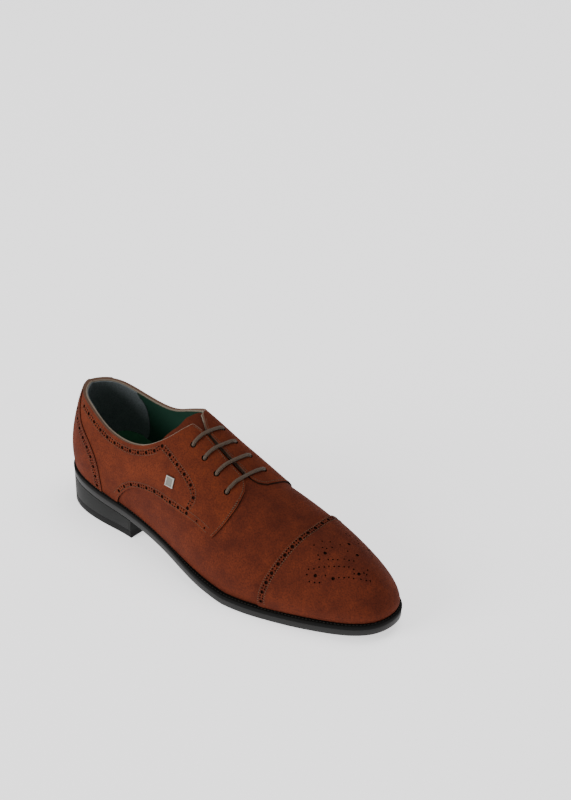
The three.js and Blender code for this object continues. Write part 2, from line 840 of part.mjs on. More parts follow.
// A plate that follows the outline, from the heel's back to the share where it ends. The rim gives the
// steps of its side from bottom to top, each with an offset and a share of the height.
function plateGeometry({ rim, low, high, useMargin, endShare }) {
  const builder = surfaceBuilder();
  const stations = Math.round(ribCount * endShare);
  const level = (x, lift) => low(x) + (high(x) - low(x)) * lift;
  const spots = (share, step) => {
    const left = edgePoint(LATERAL, share, step.offset, useMargin);
    const right = edgePoint(MEDIAL, share, step.offset, useMargin);
    const row = [];
    for (let k = 0; k <= stripCount; k += 1) {
      const x = left.x + (right.x - left.x) * k / stripCount;
      const y = left.y + (right.y - left.y) * k / stripCount;
      row.push(builder.corner({ x, y, z: level(x, step.lift) }));
    }
    return row;
  };
  const rows = [];
  for (let i = 0; i <= stations; i += 1) {
    const share = endShare === 1 ? ribShare(i) : i / stations * endShare;
    rows.push(rim.map((step) => spots(share, step)));
  }
  const top = rim.length - 1;
  for (let i = 0; i < stations; i += 1) {
    const here = rows[i];
    const next = rows[i + 1];
    for (let k = 0; k < stripCount; k += 1) {
      builder.face(here[top][k], next[top][k], next[top][k + 1], here[top][k + 1]);
      builder.face(here[0][k], here[0][k + 1], next[0][k + 1], next[0][k]);
    }
    for (let step = 0; step < top; step += 1) {
      const up = step + 1;
      builder.face(here[step][0], next[step][0], next[up][0], here[up][0]);
      builder.face(
        here[step][stripCount],
        here[up][stripCount],
        next[up][stripCount],
        next[step][stripCount],
      );
    }
  }
  for (let step = 0; step < top; step += 1) {
    for (let k = 0; k < stripCount; k += 1) {
      const start = rows[0];
      const end = rows[stations];
      builder.face(start[step][k], start[step + 1][k], start[step + 1][k + 1], start[step][k + 1]);
      builder.face(end[step][k], end[step][k + 1], end[step + 1][k + 1], end[step + 1][k]);
    }
  }
  return builder.finish();
}

// A strip that follows the whole outline. Its section is a list of offsets and heights, some of them
// beyond the welt's margin.
function ringGeometry(section) {
  const builder = surfaceBuilder();
  const ribs = ringRibs.map(({ side, share }) => section.map(({ offset, height, useMargin }) => {
    const point = edgePoint(side, share, offset, useMargin);
    return builder.corner({ x: point.x, y: point.y, z: soleLine(point.x) + height });
  }));
  ribs.forEach((rib, i) => {
    const next = ribs[(i + 1) % ribs.length];
    rib.forEach((corner, k) => {
      const after = (k + 1) % rib.length;
      builder.face(corner, next[k], next[after], rib[after]);
    });
  });
  return builder.finish();
}

const weltBottom = outsoleThickness + seatGap;
const weltTop = weltBottom + weltThickness;

function weltGeometry() {
  return ringGeometry([
    { offset: -weltWidth, height: weltBottom, useMargin: false },
    { offset: 0, height: weltBottom, useMargin: true },
    { offset: 0, height: weltTop - edgeBevel, useMargin: true },
    { offset: -edgeBevel, height: weltTop, useMargin: true },
    { offset: -weltWidth, height: weltTop, useMargin: false },
  ]);
}

function bevelledRim(setback) {
  return [
    { offset: -setback - edgeBevel, lift: 0 },
    { offset: -setback, lift: 0.15 },
    { offset: -setback, lift: 0.9 },
    { offset: -setback - edgeBevel / 2, lift: 1 },
  ];
}

function outsoleGeometry() {
  return plateGeometry({
    rim: bevelledRim(outsoleSetback),
    low: soleLine,
    high: (x) => soleLine(x) + outsoleThickness,
    useMargin: true,
    endShare: 1,
  });
}

// The share of a side at which the heel ends.
function breastShare() {
  let low = 0;
  let high = 1;
  for (let round = 0; round < 30; round += 1) {
    const middle = (low + high) / 2;
    if (ribFoot(LATERAL, middle).x < heelLength) {
      low = middle;
    } else {
      high = middle;
    }
  }
  return low;
}

function heelBlockGeometry() {
  return plateGeometry({
    rim: [{ offset: -outsoleSetback, lift: 0 }, { offset: -outsoleSetback, lift: 1 }],
    low: () => topLiftThickness + seatGap,
    high: (x) => soleLine(x) - seatGap,
    useMargin: true,
    endShare: breastShare(),
  });
}

function topLiftGeometry() {
  return plateGeometry({
    rim: [
      { offset: -outsoleSetback - edgeBevel, lift: 0 },
      { offset: -outsoleSetback, lift: 0.12 },
      { offset: -outsoleSetback, lift: 1 },
    ],
    low: () => 0,
    high: () => topLiftThickness,
    useMargin: true,
    endShare: breastShare(),
  });
}

function insoleGeometry() {
  const inset = wallThickness + insoleClearance;
  return plateGeometry({
    rim: [{ offset: -inset, lift: 0 }, { offset: -inset, lift: 1 }],
    low: featherLine,
    high: (x) => featherLine(x) + insoleThickness,
    useMargin: false,
    endShare: 1,
  });
}

// One bar of the lace: out of the lateral eyelet, over both facings and into the medial one.
function laceBarGeometry(row) {
  const ride = seatGap + quarterThickness + seatGap + laceRadius;
  const middleX = row.along * upperLength;
  const middleY = ridgePath(middleX);
  const half = (side) => {
    const eyelet = eyeletPlace(side, row);
    const start = ribPoint(side, eyelet.share, eyelet.angle);
    const reach = Math.hypot(middleX - start.x, middleY - start.y);
    return barRows.map(({ inward, lift }) => {
      const part = inward * eyeletRadius / reach;
      const x = start.x + (middleX - start.x) * part;
      const y = start.y + (middleY - start.y) * part;
      const { share, angle } = findPlace(side, x, y);
      const point = ribPoint(side, share, angle);
      return point.addScaledVector(formNormal(side, share, angle), ride * lift);
    });
  };
  const stops = [...half(LATERAL), ...half(MEDIAL).reverse()];
  const path = new THREE.CatmullRomCurve3(stops, false, 'centripetal');
  const section = new THREE.Shape();
  section.absarc(0, 0, laceRadius, 0, 2 * Math.PI, false);
  return new THREE.ExtrudeGeometry(section, {
    steps: barSteps,
    curveSegments: barSides / 2,
    extrudePath: path,
    bevelEnabled: false,
  });
}

function badgeGeometry() {
  const x = badgePlace.along * upperLength;
  const { share, angle } = findPlace(LATERAL, x, badgePlace.side * ballWidth);
  const normal = formNormal(LATERAL, share, angle);
  const centre = ribPoint(LATERAL, share, angle);
  const bed = badgeSide * badgeSide / (8 * badgeBedRadius);
  const lift = seatGap + quarterThickness + seatGap + bed + badgeThickness / 2;
  centre.addScaledVector(normal, lift);
  const forward = new THREE.Vector3(1, 0, 0);
  forward.addScaledVector(normal, -forward.dot(normal)).normalize();
  const upward = new THREE.Vector3().crossVectors(normal, forward);
  const plate = new THREE.BoxGeometry(badgeSide, badgeSide, badgeThickness);
  plate.applyMatrix4(new THREE.Matrix4().makeBasis(forward, upward, normal));
  plate.translate(centre.x, centre.y, centre.z);
  return plate;
}

const finishes = {
  suede: { color: 0x6b2f1c, roughness: 0.95, metalness: 0 },
  tongueSuede: { color: 0x5c2412, roughness: 0.95, metalness: 0 },
  lace: { color: 0x402211, roughness: 0.85, metalness: 0 },
  sock: { color: 0x102119, roughness: 0.6, metalness: 0 },
  welt: { color: 0x22221f, roughness: 0.6, metalness: 0 },
  sole: { color: 0x1c1c1b, roughness: 0.5, metalness: 0 },
  heel: { color: 0x242423, roughness: 0.5, metalness: 0 },
  rubber: { color: 0x161616, roughness: 0.8, metalness: 0 },
  plate: { color: 0x8f8f8c, roughness: 0.35, metalness: 1 },
};

const shoe = new THREE.Group();

function addPiece(name, geometry, finish) {
  const mesh = new THREE.Mesh(geometry, new THREE.MeshStandardMaterial(finishes[finish]));
  mesh.name = name;
  shoe.add(mesh);
}

addPiece('upper', upperGeometry(), 'suede');
addPiece('quarter_lateral', quarterGeometry(LATERAL), 'suede');
addPiece('quarter_medial', quarterGeometry(MEDIAL), 'suede');
addPiece('toe_cap', capGeometry(), 'suede');
addPiece('heel_counter', counterGeometry(), 'suede');
addPiece('tongue', tongueGeometry(), 'tongueSuede');
addPiece('insole', insoleGeometry(), 'sock');
addPiece('welt', weltGeometry(), 'welt');
addPiece('outsole', outsoleGeometry(), 'sole');
addPiece('heel_block', heelBlockGeometry(), 'heel');
addPiece('heel_top_lift', topLiftGeometry(), 'rubber');
eyeletRows.forEach((row, i) => addPiece(`lace_bar_${i + 1}`, laceBarGeometry(row), 'lace'));
addPiece('blank_plate', badgeGeometry(), 'plate');

// The origin is on the floor under the middle of the shoe's box.
const box = new THREE.Box3().setFromObject(shoe);
const middle = box.getCenter(new THREE.Vector3());
shoe.position.set(-middle.x, -middle.y, 0);

const part = new THREE.Group();
part.add(shoe);

export default part;
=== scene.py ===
"""Cap toe derby brogue for the right foot, standing empty on its sole, in brown suede.

Lengths are in millimetres in the shoe's own frame until a mesh is made: X from heel to toe, Y to the
medial side, Z up from the floor. Angles are in radians.
"""
import math

import bpy
import numpy as np
from mathutils import Matrix, Vector


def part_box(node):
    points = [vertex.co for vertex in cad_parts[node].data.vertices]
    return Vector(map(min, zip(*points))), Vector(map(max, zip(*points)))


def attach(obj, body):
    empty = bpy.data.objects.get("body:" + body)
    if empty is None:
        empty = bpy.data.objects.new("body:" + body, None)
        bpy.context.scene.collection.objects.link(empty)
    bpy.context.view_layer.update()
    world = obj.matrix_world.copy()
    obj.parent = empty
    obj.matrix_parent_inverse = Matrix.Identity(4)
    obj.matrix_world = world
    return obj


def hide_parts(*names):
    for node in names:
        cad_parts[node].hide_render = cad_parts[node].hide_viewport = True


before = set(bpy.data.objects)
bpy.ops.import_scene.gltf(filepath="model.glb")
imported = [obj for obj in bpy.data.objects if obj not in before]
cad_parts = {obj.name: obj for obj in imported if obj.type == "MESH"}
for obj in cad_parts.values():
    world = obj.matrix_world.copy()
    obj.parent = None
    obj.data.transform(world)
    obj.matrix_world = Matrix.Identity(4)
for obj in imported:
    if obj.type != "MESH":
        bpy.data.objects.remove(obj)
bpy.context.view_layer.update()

MM = 0.001
RIGHT_ANGLE = math.pi / 2
LATERAL, MEDIAL = -1, 1
SIDES = (LATERAL, MEDIAL)
# Columns of a point that show in plan and in side view.
PLAN, SIDE_VIEW = [0, 1], [0, 2]

# Sizes shared with the solids.
UPPER_LENGTH = 295.5
BALL_WIDTH = 92
INSTEP_HEIGHT = 82
BACK_HEIGHT = 63
HEEL_HEIGHT = 23.4
TOE_SPRING = 7
BALL_START = 186
FLAT_LENGTH = 20
HEEL_LENGTH = 81
WALL = 2.2
QUARTER_TOP = 1.3
CAP_TOP = 1.3
COUNTER_TOP = 2.0
TONGUE_DEPTH = 2.7
TONGUE_THICKNESS = 2.0
INSOLE_THICKNESS = 3.2
INSOLE_INSET = 2.8
WELT_BOTTOM = 5.4
WELT_TOP = 8.4
WELT_MARGIN = 3.7
SOLE_STACK = 8.7
TOP_LIFT = 6.0
EYELET_RADIUS = 2.3
CAP_LENGTH = 69.6
CAP_RADIUS = 110
TOE_TIP = (0.997, 0.016)

# The tables hold shares of the sizes above, row by row from heel to toe.
# Feather outline: along, lateral, medial.
OUTLINE = [
    (0.007, 0, 0), (0.019, 0.141, 0.142), (0.043, 0.235, 0.235), (0.088, 0.304, 0.302),
    (0.156, 0.338, 0.336), (0.257, 0.360, 0.329), (0.365, 0.405, 0.310), (0.474, 0.476, 0.332),
    (0.575, 0.522, 0.413), (0.667, 0.514, 0.476), (0.745, 0.459, 0.468), (0.819, 0.387, 0.415),
    (0.887, 0.314, 0.345), (0.941, 0.242, 0.264), (0.976, 0.162, 0.178), (0.992, 0.082, 0.104)]
# Welt margin and underside: along, share.
MARGIN = [(0, 1), (0.15, 0.95), (0.26, 0.56), (0.40, 0.5), (0.57, 1), (0.74, 1.06), (0.84, 1.22), (1, 1.24)]
SOLE = [(-0.06, 1.008), (0, 1), (0.333, 0.735), (0.645, 0.453), (1, 0)]
# The ridge's height over the feather line, and how far it runs aside: along, share.
RIDGE = [
    (-0.034, 1.157), (0.102, 1.180), (0.271, 1.166), (0.379, 1.068), (0.440, 1.005), (0.508, 0.909),
    (0.592, 0.801), (0.694, 0.667), (0.795, 0.543), (0.887, 0.434), (0.964, 0.332), (1.015, 0.246)]
RIDGE_PATH = [(0, 0), (0.203, -0.011), (0.406, -0.054), (0.575, -0.071), (0.778, -0.011),
              (0.907, 0.008), (1.015, 0.016)]
# Ribs: along, lateral fullness, medial fullness, swell.
SECTION = [
    (0, 0.85, 0.85, 0.028), (0.203, 1.20, 1.10, 0.007), (0.372, 1.17, 0.55, 0.013),
    (0.508, 1.07, 0.52, 0.015), (0.677, 0.93, 0.70, 0.022), (0.846, 0.82, 0.60, 0.028),
    (1.002, 0.65, 0.65, 0.021)]
# The mouth: along, lateral, medial, as heights at the collar and half widths at the throat.
COLLAR = [
    (0, 0.994, 0.994), (0.068, 0.988, 0.955), (0.122, 0.940, 0.890), (0.169, 0.866, 0.868),
    (0.217, 0.837, 0.890), (0.264, 0.862, 0.962), (0.311, 0.946, 1.090), (0.359, 1.100, 1.222),
    (0.386, 1.213, 1.305), (0.406, 1.308, 1.365), (0.420, 1.360, 1.405)]
THROAT = [(0.400, 0.040, 0.120), (0.420, 0.030, 0.076), (0.440, 0.019, 0.033),
          (0.460, 0.016, 0.016), (0.555, 0.024, 0.024), (0.577, 0.022, 0.022)]
# Where the facings part below the throat, beside the ridge: along, lateral, medial.
FLARE = [(0.555, 0.020, 0.020), (0.580, 0.030, 0.018), (0.593, 0.059, 0.020), (0.604, 0.110, 0.036),
         (0.6085, 0.170, 0.048), (0.6105, 0.240, 0.056), (0.613, 0.400, 0.066), (0.620, 0.700, 0.100),
         (0.624, 0.700, 0.190), (0.627, 0.700, 0.320), (0.632, 0.700, 0.700)]
# The tongue's end over the collar: side, along.
TONGUE_END = [(-0.217, 0.335), (-0.145, 0.354), (-0.073, 0.378), (0, 0.384), (0.145, 0.385), (0.217, 0.381)]
TONGUE_LAP = 16
# The eyelets beside the ridge, from the top: along, lateral, medial.
EYELETS = [(0.45, 0.127, 0.154), (0.49, 0.136, 0.161), (0.5335, 0.151, 0.177), (0.577, 0.189, 0.185)]
LACE_SKEW = 3.8
# Panel edges in side view: along, height over the feather line.
QUARTER_SEAM = [
    (0.222, -0.05), (0.228, 0.04), (0.242, 0.125), (0.262, 0.209), (0.290, 0.285), (0.322, 0.332),
    (0.365, 0.379), (0.415, 0.403), (0.462, 0.425), (0.507, 0.437), (0.542, 0.434), (0.577, 0.413)]
QUARTER_FRONT = [(0.577, 0.413), (0.596, 0.534), (0.6065, 0.638), (0.610, 0.700), (0.614, 0.800),
                 (0.618, 1.000)]
COUNTER = [(0.169, -0.05), (0.167, 0.050), (0.159, 0.205), (0.142, 0.341), (0.112, 0.456),
           (0.080, 0.548), (0.056, 0.692), (0.045, 0.900)]
BADGE = (0.418, -0.362)

# What only the look needs. The punched line of the facing, the front and foot of the heel grip, and the end
# of the sock's turned-up edge, in side view.
EYESTAY = [(108, 87.7), (117.4, 84.3), (126.4, 80.5), (133.9, 77.3), (141.3, 73), (147, 67.2), (147.2, 61.2),
           (145.0, 57.5)]
GRIP = [(34, 92), (36.7, 82.3), (41.2, 73.2), (42.4, 62), (41.6, 50), (39.4, 42.5)]
SOCK_END = (64, 33)
GRIP_FOOT = [(37.5, 40.9), (34.1, 43.3), (28.2, 43.5), (21.2, 43.6), (14.9, 42.2), (10.8, 40.2), (4, 37)]


def column(rows, index, unit=1.0):
    return np.array([row[index] for row in rows], float) * unit


def smooth_curve(knots, values):
    """A curve through the knots with a continuous bend, straight at both ends."""
    knots, values = np.asarray(knots, float), np.asarray(values, float)
    last = len(knots) - 1
    bends, weights = np.zeros(last + 1), np.zeros(last + 1)
    for i in range(1, last):
        before, after = knots[i] - knots[i - 1], knots[i + 1] - knots[i]
        turn = (values[i + 1] - values[i]) / after - (values[i] - values[i - 1]) / before
        pivot = 2 * (before + after) - before * weights[i - 1]
        weights[i] = after / pivot
        bends[i] = (6 * turn - before * bends[i - 1]) / pivot
    for i in range(last - 1, 0, -1):
        bends[i] -= weights[i] * bends[i + 1]

    def at(place):
        place = np.asarray(place, float)
        i = np.clip(np.searchsorted(knots[1:last], place, "left"), 0, last - 1)
        span = knots[i + 1] - knots[i]
        a = (knots[i + 1] - place) / span
        b = 1 - a
        bend = ((a**3 - a) * bends[i] + (b**3 - b) * bends[i + 1]) * span * span / 6
        return a * values[i] + b * values[i + 1] + bend
    return at


def steady_curve(knots, values):
    """A curve through the knots that never overshoots them."""
    knots, values = np.asarray(knots, float), np.asarray(values, float)
    last = len(knots) - 1
    slopes = np.diff(values) / np.diff(knots)
    tangents = np.empty(last + 1)
    tangents[0], tangents[last] = slopes[0], slopes[-1]
    for i in range(1, last):
        product = slopes[i - 1] * slopes[i]
        tangents[i] = 0 if product <= 0 else 2 * product / (slopes[i - 1] + slopes[i])

    def at(place):
        x = np.clip(np.asarray(place, float), knots[0], knots[last])
        i = np.clip(np.searchsorted(knots[1:last], x, "left"), 0, last - 1)
        span = knots[i + 1] - knots[i]
        t = (x - knots[i]) / span
        rise = (3 - 2 * t) * t * t
        ends = values[i] * (1 - rise) + values[i + 1] * rise
        return ends + t * (1 - t) * ((1 - t) * tangents[i] - t * tangents[i + 1]) * span
    return at


def table_curve(rows, index, unit, make=smooth_curve):
    return make(column(rows, 0, UPPER_LENGTH), column(rows, index, unit))


waist_line = steady_curve(column(SOLE, 0, BALL_START), column(SOLE, 1, HEEL_HEIGHT))
SPRING_START = BALL_START + FLAT_LENGTH
FORE_LENGTH = UPPER_LENGTH + WELT_MARGIN - SPRING_START


def sole_line(x):
    x = np.asarray(x, float)
    spring = np.maximum(0, x - SPRING_START) / FORE_LENGTH
    return np.where(x < BALL_START, waist_line(x), TOE_SPRING * spring * spring)


def feather_line(x):
    return sole_line(x) + SOLE_STACK


ridge_height = table_curve(RIDGE, 1, INSTEP_HEIGHT)
ridge_path = table_curve(RIDGE_PATH, 1, BALL_WIDTH, steady_curve)
swell_curve = table_curve(SECTION, 3, BALL_WIDTH, steady_curve)
margin_at = table_curve(MARGIN, 1, WELT_MARGIN, steady_curve)
SIDE_COLUMNS = {LATERAL: 1, MEDIAL: 2}
fullness = {side: table_curve(SECTION, i, 1, steady_curve) for side, i in SIDE_COLUMNS.items()}
collar_curve = {side: table_curve(COLLAR, i, BACK_HEIGHT) for side, i in SIDE_COLUMNS.items()}
throat_curve = {side: table_curve(THROAT, i, BALL_WIDTH, steady_curve) for side, i in SIDE_COLUMNS.items()}
THROAT_BACK, THROAT_FRONT = THROAT[0][0] * UPPER_LENGTH, THROAT[-1][0] * UPPER_LENGTH
COLLAR_FRONT = COLLAR[-1][0] * UPPER_LENGTH


def ridge_top(x):
    return feather_line(x) + ridge_height(x)


def feather_outline():
    """The closed curve of the feather line, and its knots at the heel, the toe and the heel again."""
    lateral = [(a * UPPER_LENGTH, -y * BALL_WIDTH) for a, y, _ in OUTLINE]
    medial = [(a * UPPER_LENGTH, y * BALL_WIDTH) for a, _, y in OUTLINE[1:]]
    loop = lateral + [(TOE_TIP[0] * UPPER_LENGTH, TOE_TIP[1] * BALL_WIDTH)] + medial[::-1]
    wrap = 4
    points = np.array(loop[-wrap:] + loop + loop[:wrap + 1])
    chords = np.hypot(*np.diff(points, axis=0).T)
    knots = np.concatenate([[0], np.cumsum(np.sqrt(chords))])
    x_curve, y_curve = smooth_curve(knots, points[:, 0]), smooth_curve(knots, points[:, 1])
    heel, toe, heel_again = knots[wrap], knots[wrap + len(lateral)], knots[wrap + len(loop)]
    return (lambda place: (x_curve(place), y_curve(place))), heel, toe, heel_again


outline_at, HEEL_KNOT, TOE_KNOT, HEEL_AGAIN = feather_outline()


def even_places(start, end):
    """Places along one side, spaced evenly by length, against the share of that side."""
    places = np.linspace(start, end, 2001)
    x, y = outline_at(places)
    lengths = np.concatenate([[0], np.cumsum(np.hypot(np.diff(x), np.diff(y)))])
    return lambda share: np.interp(np.clip(share, 0, 1) * lengths[-1], lengths, places)


OUTLINE_PROBE = 0.001
side_places = {LATERAL: even_places(HEEL_KNOT, TOE_KNOT), MEDIAL: even_places(HEEL_AGAIN, TOE_KNOT)}


def rib_foot(side, share):
    """Foot of a rib on the feather outline and the level direction out of the shoe."""
    place = side_places[side](share)
    x, y = outline_at(place)
    ahead, behind = outline_at(place + OUTLINE_PROBE), outline_at(place - OUTLINE_PROBE)
    dx, dy = ahead[0] - behind[0], ahead[1] - behind[1]
    length = np.hypot(dx, dy)
    return x, y, dy / length, -dx / length


# Where on the ridge the first and the last rib end, and what brings a rib's swell to its full size.
RIB_TOP_BACK, RIB_TOP_FRONT = 0.115 * UPPER_LENGTH, 0.9 * UPPER_LENGTH
SWELL_PEAK = 9.48


def rib_top_x(share):
    """Where on the ridge a rib ends."""
    return RIB_TOP_BACK + (RIB_TOP_FRONT - RIB_TOP_BACK) * share


def rib_point(side, share, angle):
    """Point of the form: share runs along a side, angle climbs from the feather line to the ridge."""
    foot_x, foot_y, out_x, out_y = rib_foot(side, share)
    top_x = rib_top_x(share)
    climb = np.sin(angle)
    reach = 1 - np.maximum(np.cos(angle), 0) ** fullness[side](foot_x)
    bulge = swell_curve(foot_x) * SWELL_PEAK * climb * (1 - climb) ** 3
    x = foot_x + (top_x - foot_x) * reach + out_x * bulge
    y = foot_y + (ridge_path(top_x) - foot_y) * reach + out_y * bulge
    z = feather_line(foot_x) * (1 - climb) + ridge_top(x) * climb
    return np.stack([x, y, z], -1)


def unit(vectors):
    return vectors / np.maximum(np.linalg.norm(vectors, axis=-1, keepdims=True), 1e-9)


PROBE = 0.002


def side_normal(side, share, angle):
    """One side's normal, from points just ahead, behind, above and below."""
    ahead = rib_point(side, np.minimum(share + PROBE, 1), angle)
    behind = rib_point(side, np.maximum(share - PROBE, 0), angle)
    above = rib_point(side, share, np.minimum(angle + PROBE, RIGHT_ANGLE))
    below = rib_point(side, share, np.maximum(angle - PROBE, 0))
    along, up = ahead - behind, above - below
    return unit(np.cross(along, up) if side == LATERAL else np.cross(up, along))


def form_normal(side, share, angle):
    """The direction out of the form, shared by both sides where they meet at heel, toe and ridge."""
    share, angle = np.broadcast_arrays(np.asarray(share, float), np.asarray(angle, float))
    normal = side_normal(side, share, angle)
    seam = (share <= 0) | (share >= 1)
    both = unit(normal + side_normal(-side, share, angle))
    normal = np.where(seam[..., None], both, normal)
    x = rib_top_x(share)
    fall = ridge_top(x - 1) - ridge_top(x + 1)
    on_ridge = unit(np.stack([fall, np.zeros_like(x), np.full_like(x, 2.0)], -1))
    return np.where((angle >= RIGHT_ANGLE - 1e-9)[..., None], on_ridge, normal)


# Soft creases where the vamp flexes: along, aside, half length across, half width along, depth (negative
# for a ridge) and how far the ends sweep back.
CREASES = [(192, -2, 30, 4.2, 0.32, 7), (203, 0, 32, 4.6, -0.16, 8), (211, -3, 26, 4.0, 0.22, 8)]


def crease_depth(point):
    """How far the creases lift the surface, negative where they sink it."""
    x, y = point[..., 0], point[..., 1]
    total = np.zeros_like(x)
    for middle, side, half_length, half_width, depth, sweep in CREASES:
        across = (y - side) / half_length
        line = middle - sweep * across * across
        window = np.exp(-(across ** 4) * 1.5)
        total = total - depth * window * np.exp(-((x - line) / half_width) ** 2)
    return total


def form_point(side, share, angle, depth):
    """A point at a depth over or under the form, level with the feather line below."""
    base = rib_point(side, share, angle)
    normal = form_normal(side, share, angle)
    point = base + normal * (depth + crease_depth(base))[..., None]
    foot = np.broadcast_to(np.asarray(angle, float) <= 0, point.shape[:-1])
    point[..., 2] = np.where(foot, feather_line(point[..., 0]), point[..., 2])
    return point


def in_mouth(side, point):
    """Whether a point of the form lies in the opening, over the collar or between the throat's edges."""
    x, y, z = point[..., 0], point[..., 1], point[..., 2]
    over_collar = (x < COLLAR_FRONT) & (z - feather_line(x) > collar_curve[side](x))
    in_throat = (x > THROAT_BACK) & (x < THROAT_FRONT)
    return over_collar | (in_throat & (np.abs(y - ridge_path(x)) < throat_curve[side](x)))


def mouth_angle(side, share):
    """The angle at which each rib meets the mouth's edge, or a right angle where it never does."""
    share = np.asarray(share, float)
    steps = np.linspace(0, RIGHT_ANGLE, 121)
    inside = in_mouth(side, rib_point(side, share[:, None], steps[None, :]))
    first = inside.argmax(axis=1)
    found = inside.any(axis=1)
    high = np.where(found, steps[first], RIGHT_ANGLE)
    low = np.where(found, steps[np.maximum(first - 1, 0)], RIGHT_ANGLE)
    for _ in range(24):
        middle = (low + high) / 2
        hit = in_mouth(side, rib_point(side, share, middle))
        high = np.where(found & hit, middle, high)
        low = np.where(found & ~hit, middle, low)
    return np.where(found, low, RIGHT_ANGLE)


# Ribs of the fine skins: share of the side against rib number, closer at heel, collar front and toe.
RIB_ROWS = [(0, 0), (16, 0.075), (52, 0.335), (88, 0.412), (132, 0.850), (164, 1)]
rib_share = steady_curve(column(RIB_ROWS, 0), column(RIB_ROWS, 1))
RIBS = RIB_ROWS[-1][0]
ROWS, MOUTH_ROWS = 44, 8

SHARES = rib_share(np.arange(RIBS + 1))
MOUTH = {side: mouth_angle(side, SHARES) for side in SIDES}


def rib_edge(side, share, offset, use_margin):
    """A point level with a rib's foot, moved out by an offset and, where asked, by the welt's margin."""
    x, y, out_x, out_y = rib_foot(side, share)
    reach = offset + (margin_at(x) if use_margin else 0)
    return x + out_x * reach, y + out_y * reach


def group_shift():
    """Where the shoe's own frame lies in the part's frame."""
    back = OUTLINE[0][0] * UPPER_LENGTH + INSOLE_INSET
    shift_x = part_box("insole")[0][0] / MM - back
    lateral_y = rib_edge(LATERAL, np.linspace(0, 1, 400), 0, True)[1].min()
    medial_y = rib_edge(MEDIAL, np.linspace(0, 1, 400), 0, True)[1].max()
    return np.array([shift_x, -(lateral_y + medial_y) / 2, 0.0])


SHIFT = group_shift()


def to_part(points):
    """Millimetres in the shoe's own frame to metres in the part's frame."""
    return (np.asarray(points, float) + SHIFT) * MM


# The camera that matches the photo: what it looks at, in the shoe's frame, and its turn in degrees.
CAMERA_TARGET = (79.833, 145.792, 40)
CAMERA_DISTANCE = 1300
CAMERA_AZIMUTH, CAMERA_ELEVATION, CAMERA_ROLL = 39.797, 30.059, 0.46
CAMERA_LENS, CAMERA_SENSOR = 71.955, 36


def camera_basis(azimuth, elevation, roll):
    """The camera's right, up and back directions."""
    back = Vector((math.sin(azimuth) * math.cos(elevation), -math.cos(azimuth) * math.cos(elevation),
                   math.sin(elevation)))
    right = Vector((math.cos(azimuth), math.sin(azimuth), 0))
    up = back.cross(right)
    rolled_right = right * math.cos(roll) + up * math.sin(roll)
    rolled_up = up * math.cos(roll) - right * math.sin(roll)
    return rolled_right, rolled_up, back


def add_object(name, data):
    """Puts a camera, a lamp or a mesh into the scene."""
    made = bpy.data.objects.new(name, data)
    bpy.context.scene.collection.objects.link(made)
    return made


def photo_camera():
    """The camera that sees the shoe as the photo does."""
    data = bpy.data.cameras.new("photo_camera")
    data.lens = CAMERA_LENS
    data.sensor_width = CAMERA_SENSOR
    camera = add_object("photo_camera", data)
    angles = [math.radians(angle) for angle in (CAMERA_AZIMUTH, CAMERA_ELEVATION, CAMERA_ROLL)]
    right, up, back = camera_basis(*angles)
    place = Vector(to_part(CAMERA_TARGET)) + back * (CAMERA_DISTANCE * MM)
    camera.matrix_world = Matrix.Translation(place) @ Matrix((right, up, back)).transposed().to_4x4()
    return camera


bpy.context.scene.camera = photo_camera()


def linear(hex_colour):
    """sRGB hex to linear red, green, blue and alpha."""
    channels = [int(hex_colour[i:i + 2], 16) / 255 for i in (0, 2, 4)]
    return tuple(c / 12.92 if c <= 0.04045 else ((c + 0.055) / 1.055) ** 2.4 for c in channels) + (1.0,)


def new_material(name):
    material = bpy.data.materials.new(name)
    material.use_nodes = True
    nodes, links = material.node_tree.nodes, material.node_tree.links
    return material, nodes, links, nodes["Principled BSDF"]


def add_node(nodes, links, kind, settings=None, inputs=None):
    """Adds a node, sets its properties and feeds its inputs with values or other nodes' outputs."""
    node = nodes.new(kind)
    for key, value in (settings or {}).items():
        setattr(node, key, value)
    for key, value in (inputs or {}).items():
        if isinstance(value, bpy.types.NodeSocket):
            links.new(value, node.inputs[key])
        else:
            node.inputs[key].default_value = value
    return node


def per_mm(size_mm):
    """Noise scale whose features are about that size, with Object coordinates in metres."""
    return 1 / (size_mm * MM)


def mix_colour(nodes, links, factor, first, second):
    """Mixes two colours. Each of the three may be a value or another node's output."""
    node = add_node(nodes, links, "ShaderNodeMix", {"data_type": "RGBA"})
    for socket, value in zip((node.inputs[0], node.inputs[6], node.inputs[7]), (factor, first, second)):
        if isinstance(value, bpy.types.NodeSocket):
            links.new(value, socket)
        else:
            socket.default_value = value
    return node.outputs[2]


# Suede: sizes of the speckle, the nap's fibres and the dents where it was brushed.
SPECK_MM, NAP_MM, PULL_MM = 1.1, 0.55, 6
SPECK_SHADE = 0.62


